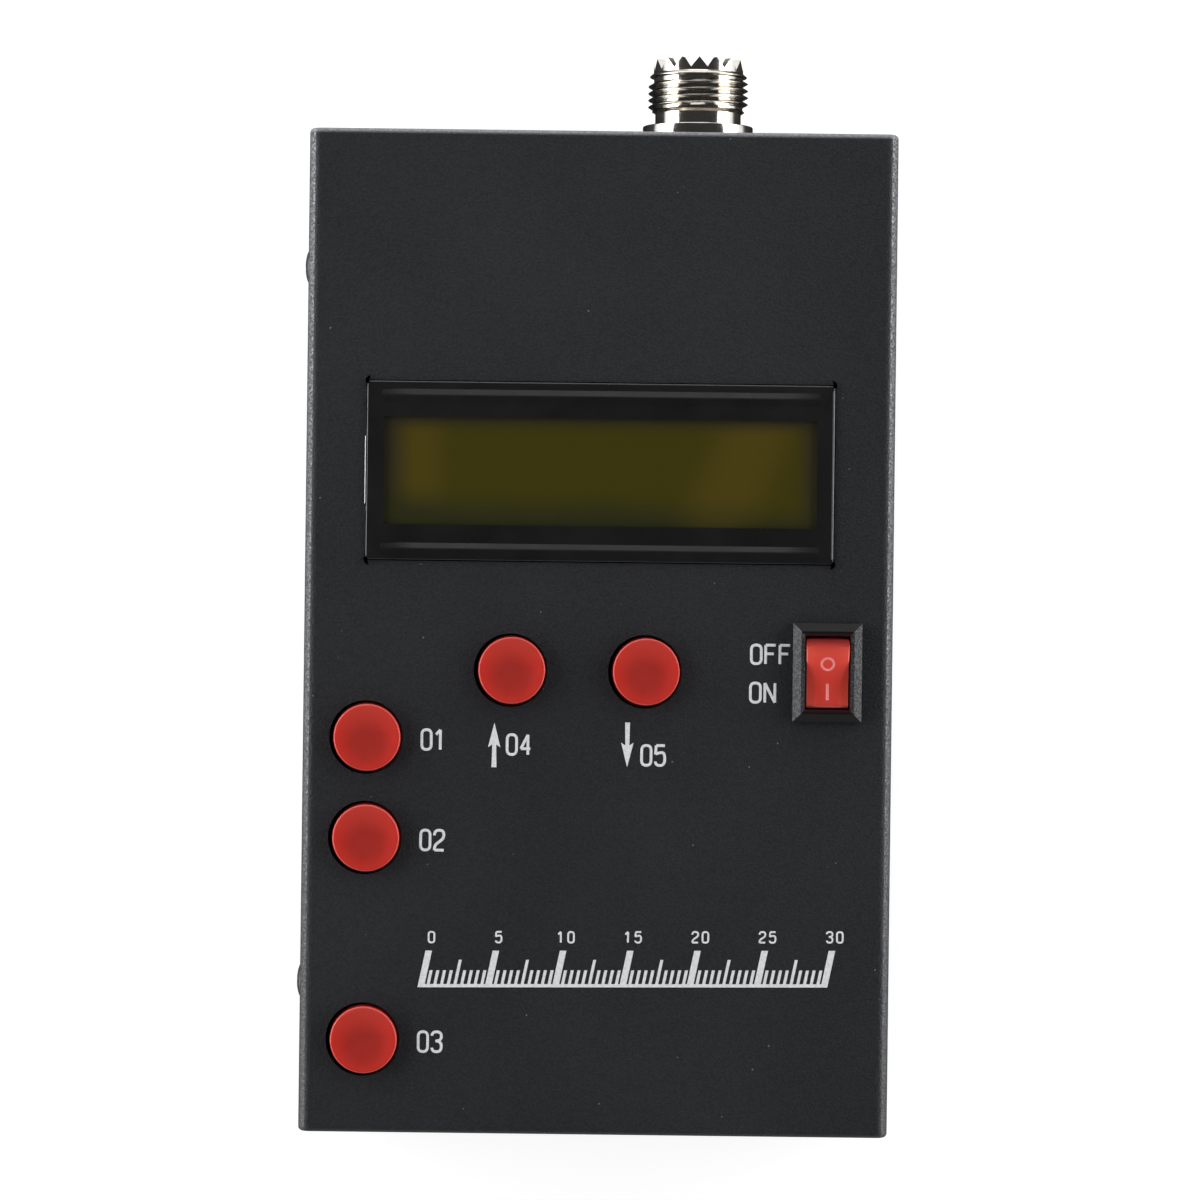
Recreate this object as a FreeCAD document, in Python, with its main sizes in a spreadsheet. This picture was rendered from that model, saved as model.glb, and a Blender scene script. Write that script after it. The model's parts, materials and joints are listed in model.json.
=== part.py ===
import FreeCAD, Part
import math
import os
import re

import Sketcher

# Antenna analyzer in a folded sheet case, in millimetres. It lies on its feet: +Z points out of the
# face, +Y towards the coaxial socket and +X to the right of the display. The origin is on the
# surface it stands on, under the middle of the whole. Places are counted from the case's middle.

sizes = {
    # folded case
    "case_width": 89.85,
    "case_length": 153.0,
    "case_height": 30.0,
    "gauge": 1.2,
    "bend_radius": 1.8,
    "edge_round": 0.7,
    "cover_gap": 0.15,
    "foot_height": 2.0,
    "foot_radius": 5.0,
    "foot_taper": 0.6,
    "foot_inset": 10.0,
    # screws through the side walls
    "screw_spread": 110.4,
    "screw_shift": 0.8,
    "screw_level": 18.0,
    "screw_radius": 1.5,
    "screw_length": 5.5,
    "screw_slack": 0.1,
    "pan_head_radius": 2.75,
    "pan_head_height": 1.1,
    "flush_head_radius": 2.6,
    "recess_depth": 0.9,
    "recess_length": 3.0,
    "recess_width": 0.7,
    "tab_width": 12.0,
    "tab_height": 21.0,
    "nut_radius": 2.75,
    "nut_barrel": 2.1,
    "nut_thickness": 2.0,
    "thread_slack": 0.02,
    # main board under the face
    "board_margin": 5.925,
    "board_top_end": 61.0,
    "board_low_end": 73.5,
    "board_thick": 1.6,
    "board_drop": 12.5,
    "standoff_flats": 5.0,
    "standoff_margin": 4.0,
    "standoff_top_row": 57.5,
    "standoff_to_rocker": 10.9,
    "standoff_middle_row": 1.0,
    "standoff_low_row": 70.6,
    "board_screw_radius": 1.25,
    "board_head_radius": 2.2,
    "board_head_height": 1.5,
    "board_screw_bite": 4.0,
    # display module
    "lcd_row": 24.4,
    "bezel_margin": 4.6,
    "bezel_depth": 26.8,
    "bezel_height": 7.5,
    "bezel_proud": 0.4,
    "bezel_gauge": 0.5,
    "bezel_gap": 0.35,
    "bezel_round": 0.3,
    "bezel_corner": 0.7,
    "window_margin": 2.4,
    "window_depth": 16.4,
    "rib_margin": 2.1,
    "rib_width": 0.9,
    "rib_height": 0.25,
    "rib_inset": 1.5,
    "bulge_length": 10.4,
    "bulge_width": 0.3,
    "glass_thick": 1.8,
    "glass_gap": 0.1,
    "strip_width": 2.0,
    "strip_margin": 3.4,
    "lcd_board_margin": 4.925,
    "lcd_board_depth": 36.0,
    "lcd_hole_margin": 2.5,
    "lcd_hole_row": 15.5,
    "lcd_standoff_radius": 2.0,
    "lcd_screw_radius": 1.0,
    "lcd_head_radius": 1.8,
    "lcd_head_height": 1.2,
    "lcd_screw_bite": 4.0,
    "driver_radius": 6.0,
    "driver_height": 1.0,
    "driver_offset": 17.0,
    "pin_margin": 5.5,
    "pin_pitch": 2.54,
    "pin_width": 0.64,
    "pin_tail": 1.2,
    "pin_hole": 0.5,
    "header_depth": 2.5,
    # push buttons
    "column_inset": 9.925,
    "upper_row": 16.3,
    "middle_row": 31.6,
    "lower_row": 62.3,
    "arrow_row": 5.85,
    "up_offset": 13.1,
    "down_offset": 7.35,
    "cap_radius": 5.1,
    "cap_gap": 0.5,
    "hole_drift": 0.22,
    "cap_height": 7.5,
    "cap_proud": 1.5,
    "cap_round": 0.45,
    "cap_wall": 1.2,
    "cap_roof": 1.6,
    "dish_radius": 4.3,
    "dish_depth": 0.45,
    "stem_radius": 1.75,
    "stem_boss": 1.3,
    "collar_radius": 2.22,
    "collar_slack": 0.08,
    "collar_play": 0.03,
    "stem_slack": 0.06,
    "button_travel": 0.3,
    "dome_play": 0.05,
    "dome_radius": 2.1,
    "dome_height": 0.35,
    "tact_width": 6.0,
    "tact_height": 3.5,
    "tact_cavity": 2.4,
    "tact_plate": 0.3,
    # rocker switch
    "rocker_inset": 10.025,
    "rocker_row": 5.65,
    "flange_width": 10.5,
    "flange_length": 15.0,
    "flange_height": 2.0,
    "flange_bevel": 1.2,
    "flange_rim": 0.7,
    "barrel_width": 8.8,
    "barrel_length": 13.0,
    "barrel_drop": 12.0,
    "barrel_floor": 1.2,
    "barrel_fit": 0.15,
    "wing_reach": 0.5,
    "wing_width": 3.0,
    "wing_drop": 3.5,
    "lever_side_gap": 0.12,
    "lever_end_gap": 0.15,
    "lever_rise": 2.9,
    "lever_valley": 1.9,
    "lever_keel": 2.0,
    "lever_round": 0.45,
    "pivot_drop": 0.5,
    "pivot_radius": 1.0,
    "pivot_slack": 0.05,
    "pivot_reach": 0.8,
    "rocker_swing": 11.0,
    "plunger_radius": 1.0,
    "plunger_slack": 0.1,
    "plunger_reach": 5.6,
    "plunger_length": 3.4,
    "plunger_boss": 1.75,
    "boss_drop": 4.0,
    "spring_turns": 5,
    "spring_wire": 0.11,
    "bore_top": 0.6,
    "blade_swing": 7.0,
    "blade_length": 8.4,
    "blade_width": 2.4,
    "blade_thick": 0.4,
    "blade_play": 0.15,
    "blade_rest": 0.1,
    "terminal_width": 2.6,
    "terminal_thick": 0.5,
    "terminal_offset": 3.6,
    "terminal_tail": 6.0,
    "notch_clear": 1.2,
    # coaxial socket
    "socket_side": 14.5,
    "socket_flange_radius": 8.55,
    "socket_flange_thick": 2.15,
    "socket_neck_radius": 6.65,
    "socket_neck": 2.0,
    "thread_radius": 7.75,
    "thread_depth": 0.6,
    "thread_pitch": 1.058,
    "thread_turns": 5,
    "thread_runout": 0.5,
    "crown_radius": 6.95,
    "crown_lip": 0.67,
    "crown_band": 0.2,
    "crown_height": 1.4,
    "crown_wall": 1.25,
    "crown_teeth": 16,
    "crown_tip": 0.08,
    "shank_radius": 6.0,
    "shank_length": 6.0,
    "shank_slack": 0.15,
    "washer_radius": 8.5,
    "washer_thick": 0.8,
    "lug_radius": 7.8,
    "lug_thick": 0.5,
    "lug_reach": 13.5,
    "lug_width": 4.0,
    "socket_nut_flats": 19.0,
    "socket_nut_thick": 2.5,
    "insulator_sink": 0.3,
    "insulator_tail": 1.5,
    "contact_bore": 2.0,
    "contact_wall": 0.6,
    "contact_sink": 0.4,
    "contact_depth": 14.0,
    "contact_slit": 0.5,
    "contact_slit_depth": 5.0,
    "cup_radius": 1.3,
    "cup_length": 4.5,
    "lead_radius": 0.5,
    # power inlet
    "jack_side": 18.0,
    "jack_level": 8.0,
    "jack_flange_radius": 5.2,
    "jack_flange_thick": 1.4,
    "jack_neck_radius": 4.1,
    "jack_length": 11.0,
    "jack_bore": 2.85,
    "jack_depth": 9.5,
    "jack_pin_radius": 1.0,
    "jack_pin_sink": 1.0,
    "jack_nut_flats": 11.0,
    "jack_nut_thick": 2.0,
    "jack_tab_offset": 2.6,
    "jack_tab_length": 4.0,
    "jack_tab_width": 2.2,
    "jack_tab_thick": 0.4,
    # what the main board carries
    "chip_length": 35.0,
    "chip_width": 7.2,
    "chip_height": 3.3,
    "chip_row": 38.0,
    "chip_socket_height": 4.2,
    "chip_socket_margin": 1.4,
    "synth_length": 10.2,
    "synth_width": 5.3,
    "synth_height": 1.75,
    "synth_side": 12.0,
    "synth_row": 56.0,
    "crystal_length": 11.0,
    "crystal_width": 4.6,
    "crystal_height": 3.6,
    "crystal_side": 8.0,
    "regulator_width": 10.2,
    "regulator_length": 9.0,
    "regulator_height": 4.5,
    "regulator_tab": 6.0,
    "regulator_tab_thick": 1.3,
    "regulator_side": 26.0,
    "regulator_row": 40.0,
    "capacitor_radius": 3.15,
    "capacitor_height": 7.7,
    "capacitor_side": 24.0,
    "capacitor_row": 62.0,
    "toroid_radius": 4.0,
    "toroid_core": 1.6,
    "toroid_wire": 0.2,
    "toroid_turns": 8,
    "toroid_row": 52.0,
    "toroid_side": 4.0,
    "toroid_spacing": 17.0,
    "trimmer_width": 6.8,
    "trimmer_height": 4.8,
    "trimmer_side": 24.0,
    "trimmer_row": 52.0,
}

lengths = {  # that follow from the sizes above
    "board_width": "(case_width - 2*board_margin)",
    "standoff_side": "(board_width/2 - standoff_margin)",
    "standoff_middle_side": "(rocker_side - standoff_to_rocker)",
    "lcd_board_width": "(case_width - 2*lcd_board_margin)",
    "lcd_hole_side": "(lcd_board_width/2 - lcd_hole_margin)",
    "bezel_width": "(lcd_board_width - 2*bezel_margin)",
    "window_width": "(bezel_width - 2*window_margin)",
    "rib_length": "(bezel_width - 2*rib_margin)",
    "strip_length": "(bezel_width - 2*strip_margin)",
    "pin_start": "(lcd_hole_side - pin_margin)",
    "side_column": "(case_width/2 - column_inset)",
    "rocker_side": "(case_width/2 - rocker_inset)",
}

doc = FreeCAD.newDocument("antenna_analyzer")
sheet = doc.addObject("Spreadsheet::Sheet", "sizes")
for row, (alias, size) in enumerate(sizes.items(), 1):
    sheet.set(f"A{row}", alias.replace("_", " "))
    sheet.set(f"B{row}", str(size))
    sheet.setAlias(f"B{row}", alias)
doc.recompute()

Vector = FreeCAD.Vector
Rotation = FreeCAD.Rotation
X_AXIS = Vector(1, 0, 0)
Y_AXIS = Vector(0, 1, 0)
Z_AXIS = Vector(0, 0, 1)
facing = {  # turns +Z to the way that a round piece points
    "up": Rotation(),
    "down": Rotation(X_AXIS, 180),
    "back": Rotation(X_AXIS, -90),
    "front": Rotation(X_AXIS, 90),
    "right": Rotation(Y_AXIS, 90),
    "left": Rotation(Y_AXIS, -90),
}
word = re.compile(r"[a-z_]+")
cells = {alias: f"sizes.{alias}" for alias in sizes}
nodes = []


# Levels above the surface it stands on, and other lengths that several pieces share
face = "(foot_height + case_height)"
roof = "(foot_height + case_height - gauge)"
floor = "(foot_height + gauge)"
side = "(case_width/2)"
end = "(case_length/2)"
tray_side = "(case_width/2 - gauge - cover_gap)"
screw_z = "(foot_height + screw_level)"
board_top = f"({roof} - board_drop)"
board_under = f"({board_top} - board_thick)"
lcd_top = f"({face} + bezel_proud - bezel_height)"
lcd_under = f"({lcd_top} - board_thick)"
glass_top = f"({face} + bezel_proud - bezel_gauge)"
glass_under = f"({glass_top} - glass_thick)"
plate_under = f"({board_top} + tact_height)"
cavity_floor = f"({plate_under} - tact_cavity)"
stem_foot = f"({cavity_floor} + dome_height + button_travel + dome_play)"
cap_top = f"({face} + cap_proud)"
stem_top = f"({cap_top} - dish_depth - cap_roof)"
pivot_z = f"({face} - pivot_drop)"
blade_z = f"({pivot_z} - plunger_reach - blade_play - blade_thick)"
opening_width = "(flange_width - 2*flange_bevel - 2*flange_rim)"
opening_length = "(flange_length - 2*flange_bevel - 2*flange_rim)"
sweep = f"({opening_length}/2 - lever_end_gap)"
socket_z = "(foot_height + case_height/2)"
thread_low = "(socket_flange_thick + socket_neck)"
thread_high = f"({thread_low} + thread_pitch*thread_turns + thread_runout)"
crown_low = f"({thread_high} + crown_lip + crown_band)"
crown_high = f"({crown_low} + crown_height)"
thread_root = "(thread_radius - thread_depth)"
shell_bore = "(crown_radius - crown_wall)"
jack_z = "(foot_height + jack_level)"
shift_x = "(pan_head_height/2)"
shift_y = f"((jack_flange_thick - {crown_high})/2)"

screw_rows = ("(screw_shift + screw_spread/2)", "(screw_shift - screw_spread/2)")
board_spots = [
    (f"{sign}{across}", up)
    for across, up in (
        ("standoff_side", "standoff_top_row"),
        ("standoff_middle_side", "-standoff_middle_row"),
        ("standoff_side", "-standoff_low_row"),
    )
    for sign in ("", "-")
]
lcd_spots = [
    (f"{sign}lcd_hole_side", f"lcd_row {other} lcd_hole_row") for sign in ("", "-") for other in ("+", "-")
]
pin_spots = [(f"{number}*pin_pitch - pin_start", "lcd_row + lcd_hole_row") for number in range(16)]
buttons = {
    "upper": ("-side_column", "-upper_row"),
    "middle": ("-side_column", "-middle_row"),
    "lower": ("-side_column", "-lower_row"),
    "up": ("-up_offset", "-arrow_row"),
    "down": ("down_offset", "-arrow_row"),
}


def bound(text):
    """The expression with each length spelled out, and each size written as its cell of the sheet."""
    spelled = str(text)
    while any(found in lengths for found in word.findall(spelled)):
        spelled = word.sub(lambda found: lengths.get(found.group(), found.group()), spelled)
    return word.sub(lambda found: cells.get(found.group(), found.group()), spelled)


def value(text):
    return float(sheet.evalExpression(bound(text)))


def point(across, up, out="0"):
    return Vector(value(across), value(up), value(out))


def move(thing, at, turn=None):
    if turn:
        thing.Placement = FreeCAD.Placement(Vector(), turn)
    for letter, text in zip("xyz", at):
        thing.setExpression(f"Placement.Base.{letter}", bound(text))
    return thing


def keep(thing, label):
    """Names a finished sub-part, and moves it from the case's frame to the object's own."""
    thing.Label = label
    own = dict(thing.ExpressionEngine)
    for letter, shift in (("x", shift_x), ("y", shift_y)):
        path = f"Placement.Base.{letter}"
        text = own.get(f".{path}", own.get(path, "0"))
        thing.setExpression(path, f"{bound(shift)} + {text}")
    nodes.append(thing)
    return thing


# Part primitives


def box(name, low, size):
    block = doc.addObject("Part::Box", name)
    for length, text in zip(("Length", "Width", "Height"), size):
        block.setExpression(length, bound(text))
    return move(block, low)


def slab(name, middle, foot, size):
    """A box centred across and up, that stands on its foot's level."""
    return box(name, (f"{middle[0]} - {size[0]}/2", f"{middle[1]} - {size[1]}/2", foot), size)


def rod(name, foot, radius, length, way="up"):
    bar = doc.addObject("Part::Cylinder", name)
    bar.setExpression("Radius", bound(radius))
    bar.setExpression("Height", bound(length))
    return move(bar, foot, facing[way])


def cone(name, foot, low_radius, high_radius, height, way="up"):
    taper = doc.addObject("Part::Cone", name)
    taper.setExpression("Radius1", bound(low_radius))
    taper.setExpression("Radius2", bound(high_radius))
    taper.setExpression("Height", bound(height))
    return move(taper, foot, facing[way])


def hexagon(name, foot, flats, length, way="up"):
    prism = doc.addObject("Part::Prism", name)
    prism.Polygon = 6
    prism.setExpression("Circumradius", bound(f"{flats}/sqrt(3)"))
    prism.setExpression("Height", bound(length))
    return move(prism, foot, facing[way])


def join(name, pieces):
    whole = doc.addObject("Part::MultiFuse", name)
    whole.Shapes = pieces
    return whole


def cut(name, base, *tools):
    for turn, tool in enumerate(tools, 1):
        rest = doc.addObject("Part::Cut", f"{name}_{turn}")
        rest.Base, rest.Tool = base, tool
        base = rest
    return base


def group(name, pieces):
    together = doc.addObject("Part::Compound", name)
    together.Links = pieces
    return together


# PartDesign sketches and features


def new_body(name, at=("0", "0", "0"), turn=None):
    return move(doc.addObject("PartDesign::Body", name), at, turn)


def sketch(body, name, role, lift="0"):
    drawing = body.newObject("Sketcher::SketchObject", name)
    plane = next(item for item in body.Origin.OriginFeatures if item.Role == role)
    drawing.AttachmentSupport = [(plane, "")]
    drawing.MapMode = "FlatFace"
    drawing.setExpression("AttachmentOffset.Base.z", bound(lift))
    return drawing


def measure(drawing, kind, name, text, *where):
    place = drawing.addConstraint(Sketcher.Constraint(kind, *where, value(text)))
    drawing.renameConstraint(place, name)
    drawing.setExpression(f"Constraints.{name}", bound(text))


def fix_point(drawing, edge, corner, across, up):
    measure(drawing, "DistanceX", f"across{edge}", across, -1, 1, edge, corner)
    measure(drawing, "DistanceY", f"up{edge}", up, -1, 1, edge, corner)


def outline(drawing, points):
    """A closed outline, anticlockwise. A spot's third entry is the radius of an arc that reaches it,
    which bulges outwards, or inwards where a fourth entry follows."""
    spots = [point(spot[0], spot[1]) for spot in points]
    edges = []
    for turn, spot in enumerate(points):
        begin, finish = spots[turn - 1], spots[turn]
        line, first, last = Part.LineSegment(begin, finish), 1, 2
        if len(spot) > 2:
            radius, chord = value(spot[2]), finish - begin
            rise = radius - math.sqrt(radius**2 - (chord.Length / 2) ** 2)
            outward = Vector(chord.y, -chord.x, 0).normalize()
            if len(spot) > 3:
                rise, first, last = -rise, 2, 1
            line = Part.Arc(begin, (begin + finish) / 2 + outward * rise, finish)
        edges.append((drawing.addGeometry(line, False), first, last))
    for turn, spot in enumerate(points):
        edge, first, last = edges[turn]
        before, _, corner = edges[turn - 1]
        drawing.addConstraint(Sketcher.Constraint("Coincident", before, corner, edge, first))
        fix_point(drawing, edge, last, spot[0], spot[1])
        if len(spot) > 2:
            measure(drawing, "Radius", f"radius{edge}", spot[2], edge)
    return drawing


def rectangle(drawing, across, up, width, depth):
    left, right = f"{across} - {width}/2", f"{across} + {width}/2"
    low, high = f"{up} - {depth}/2", f"{up} + {depth}/2"
    return outline(drawing, [(left, low), (right, low), (right, high), (left, high)])


def circle(drawing, across, up, radius):
    ring = drawing.addGeometry(Part.Circle(point(across, up), Z_AXIS, value(radius)), False)
    fix_point(drawing, ring, 3, across, up)
    measure(drawing, "Radius", f"radius{ring}", radius, ring)
    return drawing


def pad(body, drawing, length, middle=False, back=False, kind="Pad"):
    feature = body.newObject(f"PartDesign::{kind}", f"{drawing.Name}_{kind.lower()}")
    feature.Profile = drawing
    feature.Midplane = middle
    feature.Reversed = back
    feature.setExpression("Length", bound(length))
    doc.recompute()
    return feature


def pocket(body, drawing, length, middle=False, back=False):
    """Cuts against the sketch's normal, or along it with back. It has to take something away."""
    before = body.Shape.Volume
    feature = pad(body, drawing, length, middle, back, "Pocket")
    if body.Shape.Volume > before - 1e-6:
        raise ValueError(f"{feature.Name} cuts nothing")
    return feature


def revolve(body, drawing):
    feature = body.newObject("PartDesign::Revolution", f"{drawing.Name}_turned")
    feature.Profile = drawing
    feature.ReferenceAxis = (drawing, ["V_Axis"])
    feature.Angle = 360
    doc.recompute()
    return feature


def ease(body, name, size, chosen, kind="Fillet"):
    """Rounds or bevels the edges whose bounding box passes the test."""
    base = body.Tip
    names = [f"Edge{turn}" for turn, edge in enumerate(base.Shape.Edges, 1) if chosen(edge.BoundBox)]
    if not names:
        raise ValueError(f"{name} finds no edge")
    feature = body.newObject(f"PartDesign::{kind}", name)
    feature.Base = (base, names)
    feature.setExpression("Radius" if kind == "Fillet" else "Size", bound(size))
    doc.recompute()
    return feature


def near(one, other):
    return abs(one - other) < 0.002


# Case


def front_cover():
    body = new_body("front_cover")
    section = sketch(body, "cover_section", "XZ_Plane")
    outline(section, [
        (f"-{side}", "foot_height"),
        (f"-{side} + gauge", "foot_height"),
        (f"-{side} + gauge", roof),
        (f"{side} - gauge", roof),
        (f"{side} - gauge", "foot_height"),
        (side, "foot_height"),
        (side, face),
        (f"-{side}", face),
    ])
    pad(body, section, "case_length", middle=True)
    out, top, far = value(side), value(face), value(end)
    within, under = value(f"{side} - gauge"), value(roof)
    long = value("case_length")
    ease(body, "cover_outer_bends", "bend_radius",
         lambda b: near(b.YLength, long) and near(abs(b.XMin), out) and near(b.ZMin, top))
    ease(body, "cover_inner_bends", "bend_radius - gauge",
         lambda b: near(b.YLength, long) and near(abs(b.XMin), within) and near(b.ZMin, under))
    ease(body, "cover_ends", "edge_round",
         lambda b: b.YLength < 0.01 and near(abs(b.YMin), far)
         and (near(b.ZMax, top) or near(b.XMin, out) or near(b.XMax, -out)))
    openings = sketch(body, "cover_openings", "XY_Plane", face)
    rectangle(openings, "0", "lcd_row", "(bezel_width + 2*bezel_gap)", "(bezel_depth + 2*bezel_gap)")
    for across, up in buttons.values():
        circle(openings, f"{across} - hole_drift", up, "cap_radius + cap_gap")
    rectangle(openings, "rocker_side", "-rocker_row",
              "(barrel_width + 2*barrel_fit)", "(barrel_length + 2*barrel_fit)")
    pocket(body, openings, "gauge")
    for name, lift in (("left", f"-{side} + gauge"), ("right", f"{side} + gauge")):
        holes = sketch(body, f"cover_{name}_holes", "YZ_Plane", lift)
        for row in screw_rows:
            circle(holes, row, screw_z, "screw_radius + screw_slack")
        pocket(body, holes, "2*gauge")
    ease(body, "cover_sinks", "flush_head_radius - screw_radius",
         lambda b: near(b.XMin, out) and near(b.XMax, out) and near(b.YLength, b.ZLength), "Chamfer")
    keep(body, "front_cover")


def rear_tray():
    body = new_body("rear_tray")
    section = sketch(body, "tray_section", "YZ_Plane")
    outline(section, [
        (f"-{end}", "foot_height"),
        (end, "foot_height"),
        (end, roof),
        (f"{end} - gauge", roof),
        (f"{end} - gauge", floor),
        (f"-{end} + gauge", floor),
        (f"-{end} + gauge", roof),
        (f"-{end}", roof),
    ])
    pad(body, section, f"2*{tray_side}", middle=True)
    far, low = value(end), value("foot_height")
    near_end, above = value(f"{end} - gauge"), value(floor)
    wide = value(f"2*{tray_side}")
    ease(body, "tray_outer_bends", "bend_radius",
         lambda b: near(b.XLength, wide) and near(abs(b.YMin), far) and near(b.ZMin, low))
    ease(body, "tray_inner_bends", "bend_radius - gauge",
         lambda b: near(b.XLength, wide) and near(abs(b.YMin), near_end) and near(b.ZMin, above))
    gauge, high = value("gauge"), value(roof)
    ease(body, "tray_wall_corners", "bend_radius - gauge",
         lambda b: near(b.YLength, gauge) and near(abs(b.XMin), wide / 2) and near(b.ZMin, high), "Chamfer")
    tabs = sketch(body, "tray_tabs", "XY_Plane", floor)
    for sign in ("", "-"):
        for row in screw_rows:
            rectangle(tabs, f"{sign}({tray_side} - gauge/2)", row, "gauge", "tab_width")
    pad(body, tabs, "tab_height")
    holes = sketch(body, "tray_tab_holes", "YZ_Plane")
    for row in screw_rows:
        circle(holes, row, screw_z, "nut_barrel")
    pocket(body, holes, "case_width", middle=True)
    socket_hole = sketch(body, "tray_socket_hole", "XZ_Plane", f"-({end} - 2*gauge)")
    circle(socket_hole, "socket_side", socket_z, "shank_radius + shank_slack")
    pocket(body, socket_hole, "3*gauge")
    jack_hole = sketch(body, "tray_jack_hole", "XZ_Plane", f"{end} + gauge")
    circle(jack_hole, "jack_side", jack_z, "jack_neck_radius + shank_slack")
    pocket(body, jack_hole, "3*gauge")
    keep(body, "rear_tray")


def cross_recess(name, middle, way):
    """Two crossed slots that sink into a screw's head on the left or right wall."""
    x, y, z = middle
    low = x if way == "right" else f"{x} - recess_depth"
    return [
        box(f"{name}_slot", (low, f"{y} - recess_length/2", f"{z} - recess_width/2"),
            ("recess_depth", "recess_length", "recess_width")),
        box(f"{name}_bar", (low, f"{y} - recess_width/2", f"{z} - recess_length/2"),
            ("recess_depth", "recess_width", "recess_length")),
    ]


def wall_screws():
    pans, sunk = [], []
    for turn, row in enumerate(screw_rows):
        name = f"pan{turn}"
        head = doc.addObject("Part::Cylinder", f"{name}_head")
        head.setExpression("Radius", bound("pan_head_radius"))
        head.setExpression("Height", bound("pan_head_height"))
        move(head, (f"-{side} - pan_head_height", row, screw_z), facing["right"])
        doc.recompute()
        crown = doc.addObject("Part::Fillet", f"{name}_crown")
        crown.Base = head
        crown.Edges = [(3, value("pan_head_height*0.8"), value("pan_head_height*0.8"))]
        shank = rod(f"{name}_shank", (f"-{side}", row, screw_z), "screw_radius", "screw_length", "right")
        whole = join(name, [crown, shank])
        pans.append(cut(f"{name}_cut", whole,
                        *cross_recess(name, (f"-{side} - pan_head_height", row, screw_z), "right")))
        name = f"flush{turn}"
        head = cone(f"{name}_head", (side, row, screw_z), "flush_head_radius - thread_slack",
                    "screw_radius", "flush_head_radius - screw_radius - thread_slack", "left")
        shank = rod(f"{name}_shank", (side, row, screw_z), "screw_radius", "screw_length", "left")
        whole = join(name, [head, shank])
        sunk.append(cut(f"{name}_cut", whole, *cross_recess(name, (side, row, screw_z), "left")))
    keep(group("side_screws", pans), "side_screws")
    keep(group("flush_screws", sunk), "flush_screws")


def tab_nuts():
    nuts = []
    for sign, way in (("-", "right"), ("", "left")):
        for turn, row in enumerate(screw_rows):
            name = f"nut_{way}{turn}"
            inward = "+" if sign else "-"
            barrel = rod(f"{name}_barrel", (f"{sign}{tray_side}", row, screw_z), "nut_barrel", "gauge", way)
            flange = rod(f"{name}_flange", (f"{sign}{tray_side} {inward} gauge", row, screw_z),
                         "nut_radius", "nut_thickness", way)
            bore = rod(f"{name}_bore", (f"{sign}{tray_side}", row, screw_z),
                       "screw_radius + thread_slack", "gauge + nut_thickness", way)
            nuts.append(cut(f"{name}_cut", join(name, [barrel, flange]), bore))
    keep(group("tab_nuts", nuts), "tab_nuts")


def rubber_feet():
    feet = [
        cone(f"foot{turn}", (f"{across}({side} - foot_inset)", f"{up}({end} - foot_inset)", "0"),
             "foot_radius - foot_taper", "foot_radius", "foot_height")
        for turn, (across, up) in enumerate((("", ""), ("", "-"), ("-", ""), ("-", "-")))
    ]
    keep(group("rubber_feet", feet), "rubber_feet")


# Main board and its carriers


def main_board():
    body = new_body("main_board")
    plate = sketch(body, "board_plate", "XY_Plane", board_under)
    notch_left = "rocker_side - barrel_width/2 - notch_clear"
    notch_high = "-rocker_row + barrel_length/2 + notch_clear"
    notch_low = "-rocker_row - barrel_length/2 - notch_clear"
    outline(plate, [
        ("-board_width/2", "-board_low_end"),
        ("board_width/2", "-board_low_end"),
        ("board_width/2", notch_low),
        (notch_left, notch_low),
        (notch_left, notch_high),
        ("board_width/2", notch_high),
        ("board_width/2", "board_top_end"),
        ("-board_width/2", "board_top_end"),
    ])
    pad(body, plate, "board_thick")
    holes = sketch(body, "board_holes", "XY_Plane", board_top)
    for across, up in board_spots:
        circle(holes, across, up, "board_screw_radius + screw_slack")
    for across, up in pin_spots:
        circle(holes, across, up, "pin_hole")
    pocket(body, holes, "board_thick")
    keep(body, "main_board")


def board_carriers():
    standoffs, screws = [], []
    for turn, (across, up) in enumerate(board_spots):
        post = hexagon(f"standoff{turn}", (across, up, board_top), "standoff_flats", "board_drop")
        bore = rod(f"standoff{turn}_bore", (across, up, board_top),
                   "board_screw_radius + thread_slack", "board_screw_bite + board_thick")
        standoffs.append(cut(f"standoff{turn}_cut", post, bore))
        head = rod(f"board_screw{turn}_head", (across, up, f"{board_under} - board_head_height"),
                   "board_head_radius", "board_head_height")
        shank = rod(f"board_screw{turn}_shank", (across, up, board_under),
                    "board_screw_radius", "board_thick + board_screw_bite")
        screws.append(join(f"board_screw{turn}", [head, shank]))
    keep(group("board_standoffs", standoffs), "board_standoffs")
    keep(group("board_screws", screws), "board_screws")


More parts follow.
